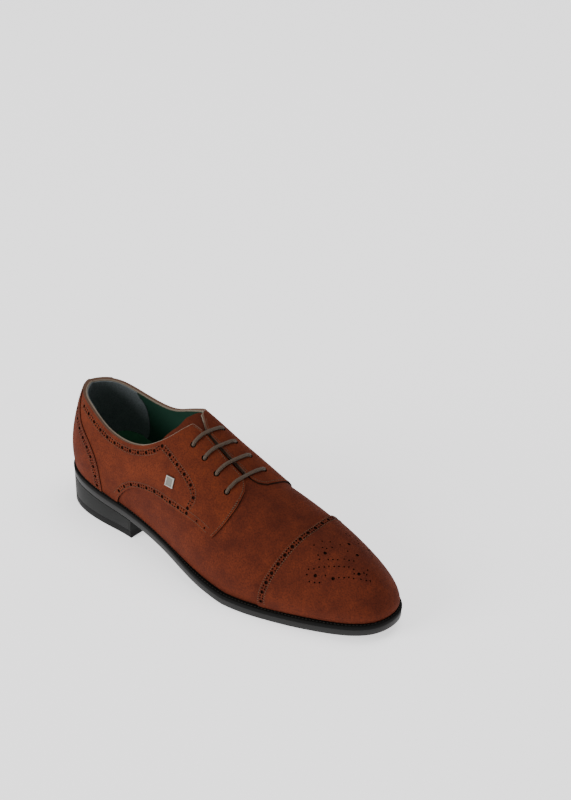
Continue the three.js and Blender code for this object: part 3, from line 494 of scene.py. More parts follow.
def suede_material(name, dark, mid, light, patch_mm=13):
    """Calf suede, buffed on the flesh side: soft patches where the pile lies one way or the other, a fine
    speckle, a dull sheen at the edges and no gloss. The nap is drawn coarser than real, so that it shows."""
    material, nodes, links, shader = new_material(name)
    where = add_node(nodes, links, "ShaderNodeTexCoord").outputs["Object"]
    patch = add_node(nodes, links, "ShaderNodeTexNoise", {}, {
        "Vector": where, "Scale": per_mm(patch_mm), "Detail": 3.0, "Roughness": 0.5, "Distortion": 0.3})
    patch_range = add_node(nodes, links, "ShaderNodeMapRange", {}, {
        "Value": patch.outputs["Fac"], "From Min": 0.25, "From Max": 0.75})
    speck = add_node(nodes, links, "ShaderNodeTexNoise", {}, {
        "Vector": where, "Scale": per_mm(SPECK_MM), "Detail": 5.0, "Roughness": 0.7})
    speck_range = add_node(nodes, links, "ShaderNodeMapRange", {}, {
        "Value": speck.outputs["Fac"], "From Min": 0.36, "From Max": 0.60})
    tone = mix_colour(nodes, links, patch_range.outputs[0], linear(dark), linear(light))
    tone = mix_colour(nodes, links, 0.45, tone, linear(mid))
    shadow = tuple(SPECK_SHADE * channel for channel in linear(dark)[:3]) + (1.0,)
    shade = mix_colour(nodes, links, speck_range.outputs[0], shadow, tone)
    colour = mix_colour(nodes, links, 0.35, shade, tone)
    links.new(colour, shader.inputs["Base Color"])
    nap = add_node(nodes, links, "ShaderNodeTexNoise", {}, {
        "Vector": where, "Scale": per_mm(NAP_MM), "Detail": 6.0, "Roughness": 0.75})
    pull = add_node(nodes, links, "ShaderNodeTexNoise", {}, {
        "Vector": where, "Scale": per_mm(PULL_MM), "Detail": 2.0})
    fine = add_node(nodes, links, "ShaderNodeBump", {}, {
        "Height": nap.outputs["Fac"], "Strength": 0.55, "Distance": 0.25 * MM})
    broad = add_node(nodes, links, "ShaderNodeBump", {}, {
        "Height": pull.outputs["Fac"], "Strength": 0.3, "Distance": 0.5 * MM, "Normal": fine.outputs[0]})
    links.new(broad.outputs[0], shader.inputs["Normal"])
    shader.inputs["Roughness"].default_value = 0.93
    shader.inputs["Specular IOR Level"].default_value = 0.18
    shader.inputs["Sheen Weight"].default_value = 0.2
    shader.inputs["Sheen Roughness"].default_value = 0.45
    shader.inputs["Sheen Tint"].default_value = linear(light)
    return material


def plain_material(name, colour, roughness, bump_mm=0.6, bump=0.15, metallic=0.0, specular=0.5):
    """One colour with a fine grain, for linings, edges, rubber and metal."""
    material, nodes, links, shader = new_material(name)
    where = add_node(nodes, links, "ShaderNodeTexCoord").outputs["Object"]
    grain = add_node(nodes, links, "ShaderNodeTexNoise", {}, {
        "Vector": where, "Scale": per_mm(bump_mm), "Detail": 3.0})
    height = add_node(nodes, links, "ShaderNodeBump", {}, {
        "Height": grain.outputs["Fac"], "Strength": bump, "Distance": 0.15 * MM})
    links.new(height.outputs[0], shader.inputs["Normal"])
    shader.inputs["Base Color"].default_value = linear(colour)
    shader.inputs["Roughness"].default_value = roughness
    shader.inputs["Metallic"].default_value = metallic
    shader.inputs["Specular IOR Level"].default_value = specular
    return material


# Brown calf suede: vamp, cap and counter, then the lighter quarters and the tongue.
suede = suede_material("brown_suede", "3c1409", "56200e", "703016")
quarter_suede = suede_material("quarter_suede", "431709", "5d240f", "763417")
tongue_suede = suede_material("tongue_suede", "4a1c0e", "56220f", "642914")
# Cut suede: dark and dull at panel edges, partly the fibre and partly painted shadow where a panel lifts off
# the one below. The holes are dark as painted shadow. Paler along the collar's rim.
cut_edge_shade = plain_material("cut_suede_edge_shade", "27130b", 0.95, specular=0.1)
hole_shadow = plain_material("punched_hole_shadow", "1f100a", 0.95, specular=0.1)
rim_edge = plain_material("collar_rim", "5d4538", 0.9, specular=0.2)
# Undyed leather, left raw along the folded edges: a pale matte line.
raw_edge = plain_material("collar_raw_edge", "6f6355", 0.85)
# Grey pigskin suede on the heel grip: a soft bluish grey.
grip_suede = suede_material("heel_grip_suede", "5c6264", "666c6e", "72787a", patch_mm=9)
# Dyed and glazed lining leather: deep green with a low sheen. The sock's green is lighter than the lining's,
# raised as painted light for the shaded inside of the shoe.
green_lining = plain_material("green_lining", "16372a", 0.55, bump_mm=0.9, bump=0.25)
sock_leather_painted_light = plain_material("green_sock", "46795a", 0.6, bump_mm=0.9, bump=0.2)
# Waxed linen thread: dull, a little lighter than the suede, and black on the welt.
thread = plain_material("brown_thread", "5c4939", 0.85, bump=0.05, specular=0.2)
welt_thread = plain_material("black_thread", "1f1e1b", 0.7, specular=0.2)
# Vegetable tanned leather with inked and waxed edges: near black, a soft highlight on the sole's edge.
black_welt = plain_material("black_welt", "090908", 0.7, bump_mm=1.2, bump=0.3, specular=0.1)
black_sole = plain_material("black_sole_edge", "141413", 0.5, bump_mm=1.5, bump=0.2, specular=0.25)
black_heel = plain_material("black_heel", "171817", 0.6, bump_mm=1.8, bump=0.2, specular=0.12)
# Moulded rubber: flat black.
black_rubber = plain_material("black_rubber", "0f0f0f", 0.65, bump_mm=0.8, specular=0.12)
# Pewter grey cast metal: a satin rim round a darker recess.
plate_metal = plain_material("satin_metal", "a3a19a", 0.3, bump_mm=0.4, bump=0.08, metallic=1.0)
plate_recess = plain_material("dark_recess", "6a6862", 0.45, bump_mm=0.4, bump=0.08, metallic=1.0)


# Corners are merged on a grid this fine.
WELD = 0.002


def mesh_object(name, points, faces, materials, face_material=None):
    """A mesh from points in the shoe's frame, with equal corners merged and collapsed faces dropped."""
    points = np.asarray(points, float)
    keys = np.round(points / WELD).astype(np.int64)
    _, first, inverse = np.unique(keys, axis=0, return_index=True, return_inverse=True)
    inverse = inverse.reshape(-1)
    kept, kept_material = [], []
    for number, face in enumerate(faces):
        corners = []
        for corner in face:
            merged = int(inverse[corner])
            if not corners or (corners[-1] != merged and corners[0] != merged):
                corners.append(merged)
        if len(corners) > 2 and len(set(corners)) == len(corners):
            kept.append(corners)
            kept_material.append(0 if face_material is None else int(face_material[number]))
    mesh = bpy.data.meshes.new(name)
    mesh.from_pydata(to_part(points[first]).tolist(), [], kept)
    for material in materials:
        mesh.materials.append(material)
    mesh.polygons.foreach_set("material_index", kept_material)
    mesh.update()
    return add_object(name, mesh)


def soften(obj, degrees=38):
    """Shades an object smooth, apart from edges that turn by more than the given angle."""
    mesh = obj.data
    mesh.polygons.foreach_set("use_smooth", [True] * len(mesh.polygons))
    mesh.set_sharp_from_angle(angle=math.radians(degrees))
    mesh.update()
    return obj


def apply_modifiers(obj):
    """Replaces the object's mesh with what its modifiers make, and removes them."""
    graph = bpy.context.evaluated_depsgraph_get()
    mesh = bpy.data.meshes.new_from_object(
        obj.evaluated_get(graph), preserve_all_data_layers=True, depsgraph=graph)
    mesh.name = obj.name
    obj.modifiers.clear()
    obj.data = mesh
    return obj


def discard(obj):
    data = obj.data
    bpy.data.objects.remove(obj)
    bpy.data.meshes.remove(data)


def cut(obj, tool, operation="DIFFERENCE"):
    """Takes the tool away from the object, or keeps what both share, and discards the tool."""
    step = obj.modifiers.new("cut", "BOOLEAN")
    step.operation = operation
    step.solver = "MANIFOLD"
    step.object = tool
    apply_modifiers(obj)
    discard(tool)
    return obj


def ring_faces(grids, tops_closed):
    """Faces of a closed skin: outer and inner grids of ribs by rows, the foot and the rim of the mouth."""
    outer, inner = grids
    count, rows = outer.shape
    nxt = np.roll(np.arange(count), -1)
    faces, tags = [], []
    for i in range(count):
        j = nxt[i]
        for r in range(rows - 1):
            faces.append((outer[i, r], outer[j, r], outer[j, r + 1], outer[i, r + 1]))
            faces.append((inner[i, r], inner[i, r + 1], inner[j, r + 1], inner[j, r]))
            tags += [0, 0]
        faces.append((inner[i, 0], inner[j, 0], outer[j, 0], outer[i, 0]))
        tags.append(0)
        if not (tops_closed[i] and tops_closed[j]):
            faces.append((inner[i, -1], outer[i, -1], outer[j, -1], inner[j, -1]))
            tags.append(1)
    return faces, tags


# Every rib once, up the lateral side to the toe and back down the medial one.
RING = [(LATERAL, i) for i in range(RIBS + 1)] + [(MEDIAL, i) for i in range(RIBS - 1, 0, -1)]


def ring_angles(closed):
    """Angles of every rib's rows, up to the mouth's edge or, closed, on across it."""
    table = []
    for side, i in RING:
        top = MOUTH[side][i]
        angles = np.linspace(0, top, ROWS + 1)
        if closed:
            angles = np.concatenate([angles, np.linspace(top, RIGHT_ANGLE, MOUTH_ROWS + 1)[1:]])
        table.append(angles)
    return np.array(table)


def ring_points(angles, depth):
    """The points of every rib at a depth over or under the form."""
    sides = np.array([side for side, _ in RING])
    shares = np.array([SHARES[i] for _, i in RING])
    points = np.empty(angles.shape + (3,))
    for side in SIDES:
        chosen = sides == side
        share = np.broadcast_to(shares[chosen][:, None], angles[chosen].shape)
        points[chosen] = form_point(side, share, angles[chosen], depth)
    return points


def skin(name, inner, outer, materials, closed=False):
    """A closed layer of the upper between two depths. Its rim at the mouth takes the last material."""
    angles = ring_angles(closed)
    outer_points, inner_points = ring_points(angles, outer), ring_points(angles, inner)
    count = angles.size
    outer_index = np.arange(count).reshape(angles.shape)
    inner_index = outer_index + count
    tops_closed = angles[:, -1] >= RIGHT_ANGLE - 1e-9
    faces, rim = ring_faces((outer_index, inner_index), tops_closed)
    tags = [(len(materials) - 1) * tag for tag in rim]
    points = np.concatenate([outer_points.reshape(-1, 3), inner_points.reshape(-1, 3)])
    return mesh_object(name, points, faces, materials, tags)


def prism(name, outline, low, high, to_point, materials, tag=0):
    """A closed block: an outline in two coordinates swept from low to high in the third."""
    outline = np.asarray(outline, float)
    area = np.sum(outline[:, 0] * np.roll(outline[:, 1], -1) - np.roll(outline[:, 0], -1) * outline[:, 1])
    if area < 0:
        outline = outline[::-1]
    n = len(outline)
    points = np.concatenate([to_point(outline, low), to_point(outline, high)])
    faces = [tuple(range(n - 1, -1, -1)), tuple(range(n, 2 * n))]
    faces += [(i, (i + 1) % n, (i + 1) % n + n, i + n) for i in range(n)]
    return mesh_object(name, points, faces, materials, [tag] * len(faces))


def plan_point(outline, height):
    """Seen from above: the outline at a height."""
    return np.column_stack([outline, np.full(len(outline), float(height))])


def side_point(outline, y):
    """Side view: the outline's second coordinate is the height. Y runs backwards to keep faces outward."""
    return np.column_stack([outline[:, 0], np.full(len(outline), -float(y)), outline[:, 1]])


def side_prism(name, outline, low, high, materials, tag=0):
    """A block over an outline in side view, from one y to another."""
    return prism(name, outline, -high, -low, side_point, materials, tag)


def plan_prism(name, outline, materials, tag=0):
    """A tall block over an outline seen from above."""
    return prism(name, outline, *PRISM_HEIGHTS, plan_point, materials, tag)


def spline(points, count):
    """Points of a centripetal curve through the given ones."""
    points = np.asarray(points, float)
    chords = np.sqrt(np.linalg.norm(np.diff(points, axis=0), axis=1))
    knots = np.concatenate([[0], np.cumsum(chords)])
    places = np.linspace(0, knots[-1], count)
    return np.stack([smooth_curve(knots, points[:, k])(places) for k in range(points.shape[1])], -1)


def edge_points(rows, count=60):
    """A panel's edge in side view, from its table."""
    x = column(rows, 0, UPPER_LENGTH)
    z = feather_line(x) + column(rows, 1, INSTEP_HEIGHT)
    return spline(np.column_stack([x, z]), count)


# Places well clear of the shoe, where cutting blocks end.
FAR = 2 * BALL_WIDTH
ABOVE, BELOW, BEHIND = 3 * INSTEP_HEIGHT, -BALL_WIDTH, -BALL_WIDTH
PRISM_HEIGHTS = (-150, 250)


def offset_line(points, distance):
    """The line moved to its left by a distance, seen with its second coordinate up."""
    tangent = np.gradient(points, axis=0)
    tangent = tangent / np.linalg.norm(tangent, axis=1, keepdims=True)
    return points + np.column_stack([-tangent[:, 1], tangent[:, 0]]) * distance


counter_line = edge_points(COUNTER)
seam_line = edge_points(QUARTER_SEAM)
front_line = edge_points(QUARTER_FRONT, 40)
front_lines = {LATERAL: front_line, MEDIAL: front_line + (LACE_SKEW, 0)}


def rounded_tip(seam, front, radius=2.0):
    """The quarter's lower front corner, rounded between its seam and its front edge."""
    tip = front[0]
    into = (tip - seam[-3]) / np.linalg.norm(tip - seam[-3])
    out = (front[3] - tip) / np.linalg.norm(front[3] - tip)
    t = np.linspace(0, 1, 7)[:, None]
    return (tip - into * radius) * (1 - t) ** 2 + tip * 2 * t * (1 - t) + (tip + out * radius) * t ** 2


def quarter_outline(side, gap):
    """A quarter in side view, from a gap ahead of the counter to its front edge."""
    rear = counter_line + (gap, 0)
    seam, front = seam_line[:-2], front_lines[side][3:]
    tip = rounded_tip(seam_line, front_lines[side])
    return np.concatenate([
        [(rear[0][0], BELOW), (seam[0][0], BELOW)], seam, tip, front,
        [(front[-1][0], ABOVE), (rear[-1][0], ABOVE)], rear[::-1]])


def counter_outline():
    """All that lies behind the counter's edge, in side view."""
    return np.concatenate([
        [(BEHIND, BELOW), (counter_line[0][0], BELOW)], counter_line,
        [(counter_line[-1][0], ABOVE), (BEHIND, ABOVE)]])


CAP_CENTRE = np.array([UPPER_LENGTH - CAP_LENGTH - CAP_RADIUS, TOE_TIP[1] * BALL_WIDTH])
CAP_HALF_TURN = 0.545


def cap_outline():
    """All that lies ahead of the cap's curved edge, seen from above."""
    angles = np.linspace(-CAP_HALF_TURN, CAP_HALF_TURN, 61)
    arc = CAP_CENTRE + CAP_RADIUS * np.column_stack([np.cos(angles), np.sin(angles)])
    ahead = 2 * UPPER_LENGTH
    return np.concatenate([[(arc[0][0], -FAR)], arc, [(arc[-1][0], FAR), (ahead, FAR), (ahead, -FAR)]])


def flare_outline():
    """The vamp left bare between the facings, seen from above."""
    x = column(FLARE, 0, UPPER_LENGTH)
    lateral = np.column_stack([x, ridge_path(x) - column(FLARE, 1, BALL_WIDTH)])
    medial = np.column_stack([x, ridge_path(x) + column(FLARE, 2, BALL_WIDTH)])
    return np.concatenate([lateral, medial[::-1]])


def tongue_outline():
    """The tongue seen from above, from its foot under the vamp to its curved end."""
    foot = THROAT_FRONT + TONGUE_LAP
    middle = float(ridge_path((THROAT_BACK + foot) / 2))
    x, y = column(TONGUE_END, 1, UPPER_LENGTH), middle + column(TONGUE_END, 0, BALL_WIDTH)
    end = spline(np.column_stack([x, y]), 40)
    return np.concatenate([[(foot, end[-1][1]), (foot, end[0][1])], end])


# Steps of the search for a place on the surface, how much of each is taken, and its probe.
SOLVE_STEPS, DAMPING, SOLVE_PROBE = 14, 0.8, 1e-4


def solve_place(side, targets, axes, depth, low_share=0.0, high_share=1.0):
    """Share and angle on one side where the surface at a depth has the wanted coordinates."""
    shares, angles = np.linspace(low_share, high_share, 240), np.linspace(0.01, 1.55, 110)
    s, a = [g.ravel() for g in np.meshgrid(shares, angles, indexing="ij")]
    grid = (rib_point(side, s, a) + form_normal(side, s, a) * depth)[:, axes]
    nearest = np.array([np.argmin(((grid - t) ** 2).sum(1)) for t in targets])
    s, a = s[nearest], a[nearest]

    def at(share, angle):
        return (rib_point(side, share, angle) + form_normal(side, share, angle) * depth)[:, axes]

    for _ in range(SOLVE_STEPS):
        here = at(s, a)
        ds = (at(s + SOLVE_PROBE, a) - here) / SOLVE_PROBE
        da = (at(s, a + SOLVE_PROBE) - here) / SOLVE_PROBE
        miss = targets - here
        scale = ds[:, 0] * da[:, 1] - ds[:, 1] * da[:, 0]
        scale = np.where(np.abs(scale) < 1e-3, 1e-3, scale)
        share_step = DAMPING * (miss[:, 0] * da[:, 1] - miss[:, 1] * da[:, 0]) / scale
        angle_step = DAMPING * (ds[:, 0] * miss[:, 1] - ds[:, 1] * miss[:, 0]) / scale
        s = np.clip(s + share_step, low_share, high_share)
        a = np.clip(a + angle_step, 0.0, RIGHT_ANGLE - 1e-4)
    return s, a


def side_line(side, line, depth, clear=None):
    """A line drawn in side view, laid on the surface at a depth: points, normals.

    Given clear, only what lies that far under the mouth's edge is kept.
    """
    s, a = solve_place(side, np.asarray(line, float), SIDE_VIEW, depth, 0.0, 0.72)
    if clear is not None:
        keep = ~in_mouth(side, rib_point(side, s, a) + (0, 0, clear))
        s, a = s[keep], a[keep]
    return form_point(side, s, a, depth), form_normal(side, s, a)


def plan_spots(spots, depth):
    """Places seen from above, laid on the surface: points, normals."""
    spots = np.asarray(spots, float)
    points, normals = np.empty((len(spots), 3)), np.empty((len(spots), 3))
    for side in SIDES:
        chosen = (spots[:, 1] - ridge_path(spots[:, 0]) < 0) == (side == LATERAL)
        if chosen.any():
            s, a = solve_place(side, spots[chosen], PLAN, depth, 0.3, 1.0)
            points[chosen] = form_point(side, s, a, depth)
            normals[chosen] = form_normal(side, s, a)
    return points, normals


def plan_spot(side, x, y, high_share=0.8):
    """A point of the form between heel and cap, seen from above, and its normal."""
    s, a = solve_place(side, np.array([[x, y]]), PLAN, 0.0, 0.2, high_share)
    return rib_point(side, s, a)[0], form_normal(side, s, a)[0]


def collar_line(side, below, depth, start, end):
    """A line at a distance under the mouth's edge, measured on the surface, from one x to another."""
    s = np.linspace(0.0, 0.62, 900)
    a = mouth_angle(side, s)
    edge = form_point(side, s, a, depth)
    normal = form_normal(side, s, a)
    tangent = unit(np.gradient(edge, axis=0))
    inward = unit(np.cross(normal, tangent)) * (-1 if side == LATERAL else 1)
    inward = np.where(inward[:, 2:3] > 0, -inward, inward)
    wanted = edge + inward * below
    keep = (wanted[:, 0] > start) & (wanted[:, 0] < end) & (s < 0.40)
    wanted = wanted[keep][::6]
    s, a = solve_place(side, wanted[:, SIDE_VIEW], SIDE_VIEW, depth, 0.0, 0.62)
    line = form_point(side, s, a, depth)
    return line, form_normal(side, s, a)


TANGENT_REACH = 0.3


def resample(points, normals, pitch, start=0.0, end=0.0):
    """Evenly spaced places on a line, with their normals and tangents."""
    lengths = np.concatenate([[0], np.cumsum(np.linalg.norm(np.diff(points, axis=0), axis=1))])
    usable = lengths[-1] - start - end
    count = max(int(round(usable / pitch)), 1)
    places = start + usable * np.arange(count + 1) / count

    def along(spots, values):
        return np.stack([np.interp(spots, lengths, values[:, k]) for k in range(3)], -1)

    ahead, behind = along(places + TANGENT_REACH, points), along(places - TANGENT_REACH, points)
    return along(places, points), unit(along(places, normals)), unit(ahead - behind)


def node_group(name, sockets):
    """An empty geometry node tree with named inputs, and the identifier of each."""
    tree = bpy.data.node_groups.new(name, "GeometryNodeTree")
    made = {}
    tree.interface.new_socket("Geometry", in_out="INPUT", socket_type="NodeSocketGeometry")
    for label, kind, default in sockets:
        socket = tree.interface.new_socket(label, in_out="INPUT", socket_type=kind)
        if default is not None:
            socket.default_value = default
        made[label] = socket.identifier
    tree.interface.new_socket("Geometry", in_out="OUTPUT", socket_type="NodeSocketGeometry")
    return tree, made


def stitch_group():
    """Lays a stitch at even steps along each line, turned with the line and its normal."""
    tree, made = node_group("stitch_row", [
        ("Pitch", "NodeSocketFloat", 0.002), ("Length", "NodeSocketFloat", 0.0008),
        ("Width", "NodeSocketFloat", 0.0003), ("Material", "NodeSocketMaterial", None)])
    nodes, links = tree.nodes, tree.links
    source = nodes.new("NodeGroupInput")
    curve = add_node(nodes, links, "GeometryNodeMeshToCurve", {}, {"Mesh": source.outputs["Geometry"]})
    even = add_node(nodes, links, "GeometryNodeResampleCurve", {"mode": "LENGTH"}, {
        "Curve": curve.outputs[0], "Length": source.outputs["Pitch"]})
    normal = add_node(nodes, links, "GeometryNodeInputNamedAttribute", {"data_type": "FLOAT_VECTOR"}, {
        "Name": "nrm"})
    tangent = add_node(nodes, links, "GeometryNodeInputTangent")
    first = add_node(nodes, links, "FunctionNodeAlignRotationToVector", {"axis": "X"}, {
        "Vector": tangent.outputs[0]})
    second = add_node(nodes, links, "FunctionNodeAlignRotationToVector", {"axis": "Z", "pivot_axis": "X"}, {
        "Rotation": first.outputs[0], "Vector": normal.outputs[0]})
    ball = add_node(nodes, links, "GeometryNodeMeshUVSphere", {}, {"Segments": 8, "Rings": 5, "Radius": 1.0})
    size = add_node(nodes, links, "ShaderNodeCombineXYZ", {}, {
        "X": source.outputs["Length"], "Y": source.outputs["Width"], "Z": source.outputs["Width"]})
    placed = add_node(nodes, links, "GeometryNodeInstanceOnPoints", {}, {
        "Points": even.outputs[0], "Instance": ball.outputs[0], "Rotation": second.outputs[0],
        "Scale": size.outputs[0]})
    real = add_node(nodes, links, "GeometryNodeRealizeInstances", {}, {"Geometry": placed.outputs[0]})
    smooth = add_node(nodes, links, "GeometryNodeSetShadeSmooth", {}, {"Geometry": real.outputs[0]})
    finish = add_node(nodes, links, "GeometryNodeSetMaterial", {}, {
        "Geometry": smooth.outputs[0], "Material": source.outputs["Material"]})
    sink = nodes.new("NodeGroupOutput")
    links.new(finish.outputs[0], sink.inputs[0])
    return tree, made


def punch_group():
    """Sets a round punch of its own radius at every point, square to the surface."""
    tree, made = node_group("punch_row", [
        ("Depth", "NodeSocketFloat", 0.004), ("Sides", "NodeSocketInt", 14),
        ("Material", "NodeSocketMaterial", None)])
    nodes, links = tree.nodes, tree.links
    source = nodes.new("NodeGroupInput")
    dots = add_node(nodes, links, "GeometryNodeMeshToPoints", {}, {"Mesh": source.outputs["Geometry"]})
    normal = add_node(nodes, links, "GeometryNodeInputNamedAttribute", {"data_type": "FLOAT_VECTOR"}, {
        "Name": "nrm"})
    radius = add_node(nodes, links, "GeometryNodeInputNamedAttribute", {"data_type": "FLOAT"}, {
        "Name": "hole"})
    turned = add_node(nodes, links, "FunctionNodeAlignRotationToVector", {"axis": "Z"}, {
        "Vector": normal.outputs[0]})
    tool = add_node(nodes, links, "GeometryNodeMeshCylinder", {"fill_type": "NGON"}, {
        "Vertices": source.outputs["Sides"], "Radius": 1.0, "Depth": 1.0})
    size = add_node(nodes, links, "ShaderNodeCombineXYZ", {}, {
        "X": radius.outputs[0], "Y": radius.outputs[0], "Z": source.outputs["Depth"]})
    placed = add_node(nodes, links, "GeometryNodeInstanceOnPoints", {}, {
        "Points": dots.outputs[0], "Instance": tool.outputs[0], "Rotation": turned.outputs[0],
        "Scale": size.outputs[0]})
    real = add_node(nodes, links, "GeometryNodeRealizeInstances", {}, {"Geometry": placed.outputs[0]})
    finish = add_node(nodes, links, "GeometryNodeSetMaterial", {}, {
        "Geometry": real.outputs[0], "Material": source.outputs["Material"]})
    sink = nodes.new("NodeGroupOutput")
    links.new(finish.outputs[0], sink.inputs[0])
    return tree, made


STITCHES, STITCH_INPUTS = stitch_group()
PUNCHES, PUNCH_INPUTS = punch_group()


def run_nodes(obj, tree, values):
    """Runs a node tree on an object and keeps what it makes as a plain mesh."""
    step = obj.modifiers.new("repeat", "NODES")
    step.node_group = tree
    for identifier, value in values.items():
        step[identifier] = value
    return apply_modifiers(obj)


def add_vectors(mesh, name, values):
    layer = mesh.attributes.new(name, "FLOAT_VECTOR", "POINT")
    layer.data.foreach_set("vector", np.asarray(values, float).reshape(-1))


def stitch_rows(name, lines, pitch, length, width, material):
    """One mesh with the stitches of several lines, each a pair of points and normals."""
    points, edges, normals = [], [], []
    for line, normal in lines:
        start = len(points)
        points += list(line)
        normals += list(normal)
        edges += [(start + i, start + i + 1) for i in range(len(line) - 1)]
    mesh = bpy.data.meshes.new(name)
    mesh.from_pydata(to_part(points).tolist(), edges, [])
    add_vectors(mesh, "nrm", normals)
    return run_nodes(add_object(name, mesh), STITCHES, {
        STITCH_INPUTS["Pitch"]: pitch * MM, STITCH_INPUTS["Length"]: length / 2 * MM,
        STITCH_INPUTS["Width"]: width / 2 * MM, STITCH_INPUTS["Material"]: material})


def punches(name, holes, depth, material, sides=14):
    """A mesh of punches. Each hole is a point, a normal and a radius."""
    mesh = bpy.data.meshes.new(name)
    mesh.from_pydata(to_part([hole[0] for hole in holes]).tolist(), [], [])
    add_vectors(mesh, "nrm", [hole[1] for hole in holes])
    layer = mesh.attributes.new("hole", "FLOAT", "POINT")
    layer.data.foreach_set("value", [hole[2] * MM for hole in holes])
    return run_nodes(add_object(name, mesh), PUNCHES, {
        PUNCH_INPUTS["Depth"]: depth * MM, PUNCH_INPUTS["Sides"]: sides, PUNCH_INPUTS["Material"]: material})


# Punched holes: radii of the large and small ones, and where the small pairs lie between two large ones.
BIG_HOLE, SMALL_HOLE = 1.35, 0.62
PAIR_PLACES, PAIR_HALF_WIDTH = (0.36, 0.64), 1.05
# The seam's punched row ends at an x. Two single holes follow it.
SEAM_ROW_END, LONE_HOLES, LONE_RADIUS = 147, (155.6, 162.5), 0.75
# Beside each edge: how far in the holes and the two threads lie, and the pitch of the large holes.
SEAM_ROW, SEAM_THREADS, SEAM_PITCH = 2.9, (1.4, 5.2), 9.3
COLLAR_ROW, COLLAR_THREADS, COLLAR_PITCH = 5.3, (3.2, 7.3), 8.0
CAP_ROW, CAP_THREADS, CAP_PITCH = 2.9, (1.1, 4.7), 7.9
COUNTER_ROW, COUNTER_THREADS, COUNTER_PITCH = 4.6, (1.6, 6.8), 7.8
STAY_THREADS, FACING_THREAD = (-1.95, 1.95), 1.4
# Where the collar's holes and threads begin on each side, and where they end.
COLLAR_HOLES_FROM, COLLAR_HOLES_TO = {LATERAL: 22, MEDIAL: 24}, 105
COLLAR_THREADS_FROM, COLLAR_THREADS_TO = {LATERAL: 20, MEDIAL: 24}, 104
# How far under the mouth's edge the counter's threads stop.
COUNTER_CLEAR = 1.2
# How much of a thread's shift keeps it clear of the flare beside the throat.
FACING_CLEAR = 0.6
# Lengths of the punches for panels, for the thicker counter and for eyelets, which also have more sides.
PUNCH_REACH, COUNTER_REACH, EYELET_REACH, EYELET_SIDES = 2.0, 2.6, 14, 28
# Stitches and the needle holes between them: pitch, then length and width of each.
STITCH_PITCH, STITCH_SIZE, NEEDLE_SIZE = 1.7, (1.3, 0.55), (0.5, 0.6)
# The gap between a quarter and the counter behind it.
QUARTER_GAP = 0.15
# The depth of the inner face of the heel grip and the sock's edge, and the gap between the two.
GRIP_DEPTH, GRIP_GAP = 2.75, 0.3


def brogue_row(points, normals, pitch, start=0.0, end=0.0):
    """Large holes at the pitch with two pairs of small ones between them."""
    at, normal, tangent = resample(points, normals, pitch, start, end)
    across = unit(np.cross(normal, tangent))
    holes = [(p, n, BIG_HOLE) for p, n in zip(at, normal)]
    for i in range(len(at) - 1):
        for part in PAIR_PLACES:
            p = at[i] * (1 - part) + at[i + 1] * part
            n = unit(normal[i] * (1 - part) + normal[i + 1] * part)
            aside = unit(across[i] * (1 - part) + across[i + 1] * part) * PAIR_HALF_WIDTH
            holes += [(p + aside, n, SMALL_HOLE), (p - aside, n, SMALL_HOLE)]
    return holes


# Materials of a panel: its face, its cut edge, its holes and its rim at the mouth. The holes, and in part
# the cut edge, are dark as painted shadow.
PANEL_MATERIALS = [suede, cut_edge_shade, hole_shadow, rim_edge]
QUARTER_MATERIALS = [quarter_suede, cut_edge_shade, hole_shadow, rim_edge]
TONGUE_MATERIALS = [tongue_suede, cut_edge_shade]
# The slot of the cut edge, whose dark colour is partly painted shadow.
CUT_EDGE_SHADE = 1


def find_eyelets():
    """The eyelets of each side from the top: a point of the form, its normal and the radius."""
    spots = {side: [] for side in SIDES}
    for along, *halves in EYELETS:
        for side, half in zip(SIDES, halves):
            x = along * UPPER_LENGTH + side * LACE_SKEW / 2
            y = float(ridge_path(x)) + side * half * BALL_WIDTH
            spots[side].append((*plan_spot(side, x, y), EYELET_RADIUS))
    return spots


eyelet_spots = find_eyelets()


def cut_eyelets(obj, sides=SIDES):
    """Cuts the eyelets of one side or both through an object."""
    spots = [spot for side in sides for spot in eyelet_spots[side]]
    # The eyelets' walls take the dark hole colour: painted shadow.
    cut(obj, punches("eyelet_tool", spots, EYELET_REACH, hole_shadow, EYELET_SIDES))


def make_wall():
    """The vamp's leather, which shows between the overlays: the outer half of the wall."""
    made = skin("vamp_wall", -WALL / 2, 0.0, PANEL_MATERIALS)
    cut_eyelets(made)
    return made


def make_lining():
    """The inner half of the wall, left raw at the mouth."""
    made = skin("lining", -WALL, -WALL / 2, [green_lining, raw_edge])
    cut_eyelets(made)
    return made


def facing_line(side, shift):
    """A line beside the facing's free edge: up its front from the corner, then back along the throat."""
    own_front = front_lines[side]
    flare_x, flare_half = column(FLARE, 0, UPPER_LENGTH), column(FLARE, SIDE_COLUMNS[side], BALL_WIDTH)

    def half_gap(x):
        return np.maximum(np.interp(x, flare_x, flare_half, left=0), throat_curve[side](x))

    front, front_normal = side_line(side, offset_line(own_front, shift)[2:], QUARTER_TOP)
    aside = side * (front[:, 1] - ridge_path(front[:, 0]))
    clear = aside > half_gap(front[:, 0] + shift * FACING_CLEAR) + shift * FACING_CLEAR
    front, front_normal = front[clear], front_normal[clear]
    x = np.linspace(FLARE[-1][0] * UPPER_LENGTH, THROAT[1][0] * UPPER_LENGTH, 90)
    edge = np.column_stack([x, ridge_path(x) + side * half_gap(x)])
    beside = offset_line(edge, shift if side == LATERAL else -shift)
    throat, throat_normal = plan_spots(beside, QUARTER_TOP)
    inside = throat[:, 0] < np.interp(throat[:, 2], own_front[:, 1], own_front[:, 0]) - shift
    return np.concatenate([front, throat[inside]]), np.concatenate([front_normal, throat_normal[inside]])


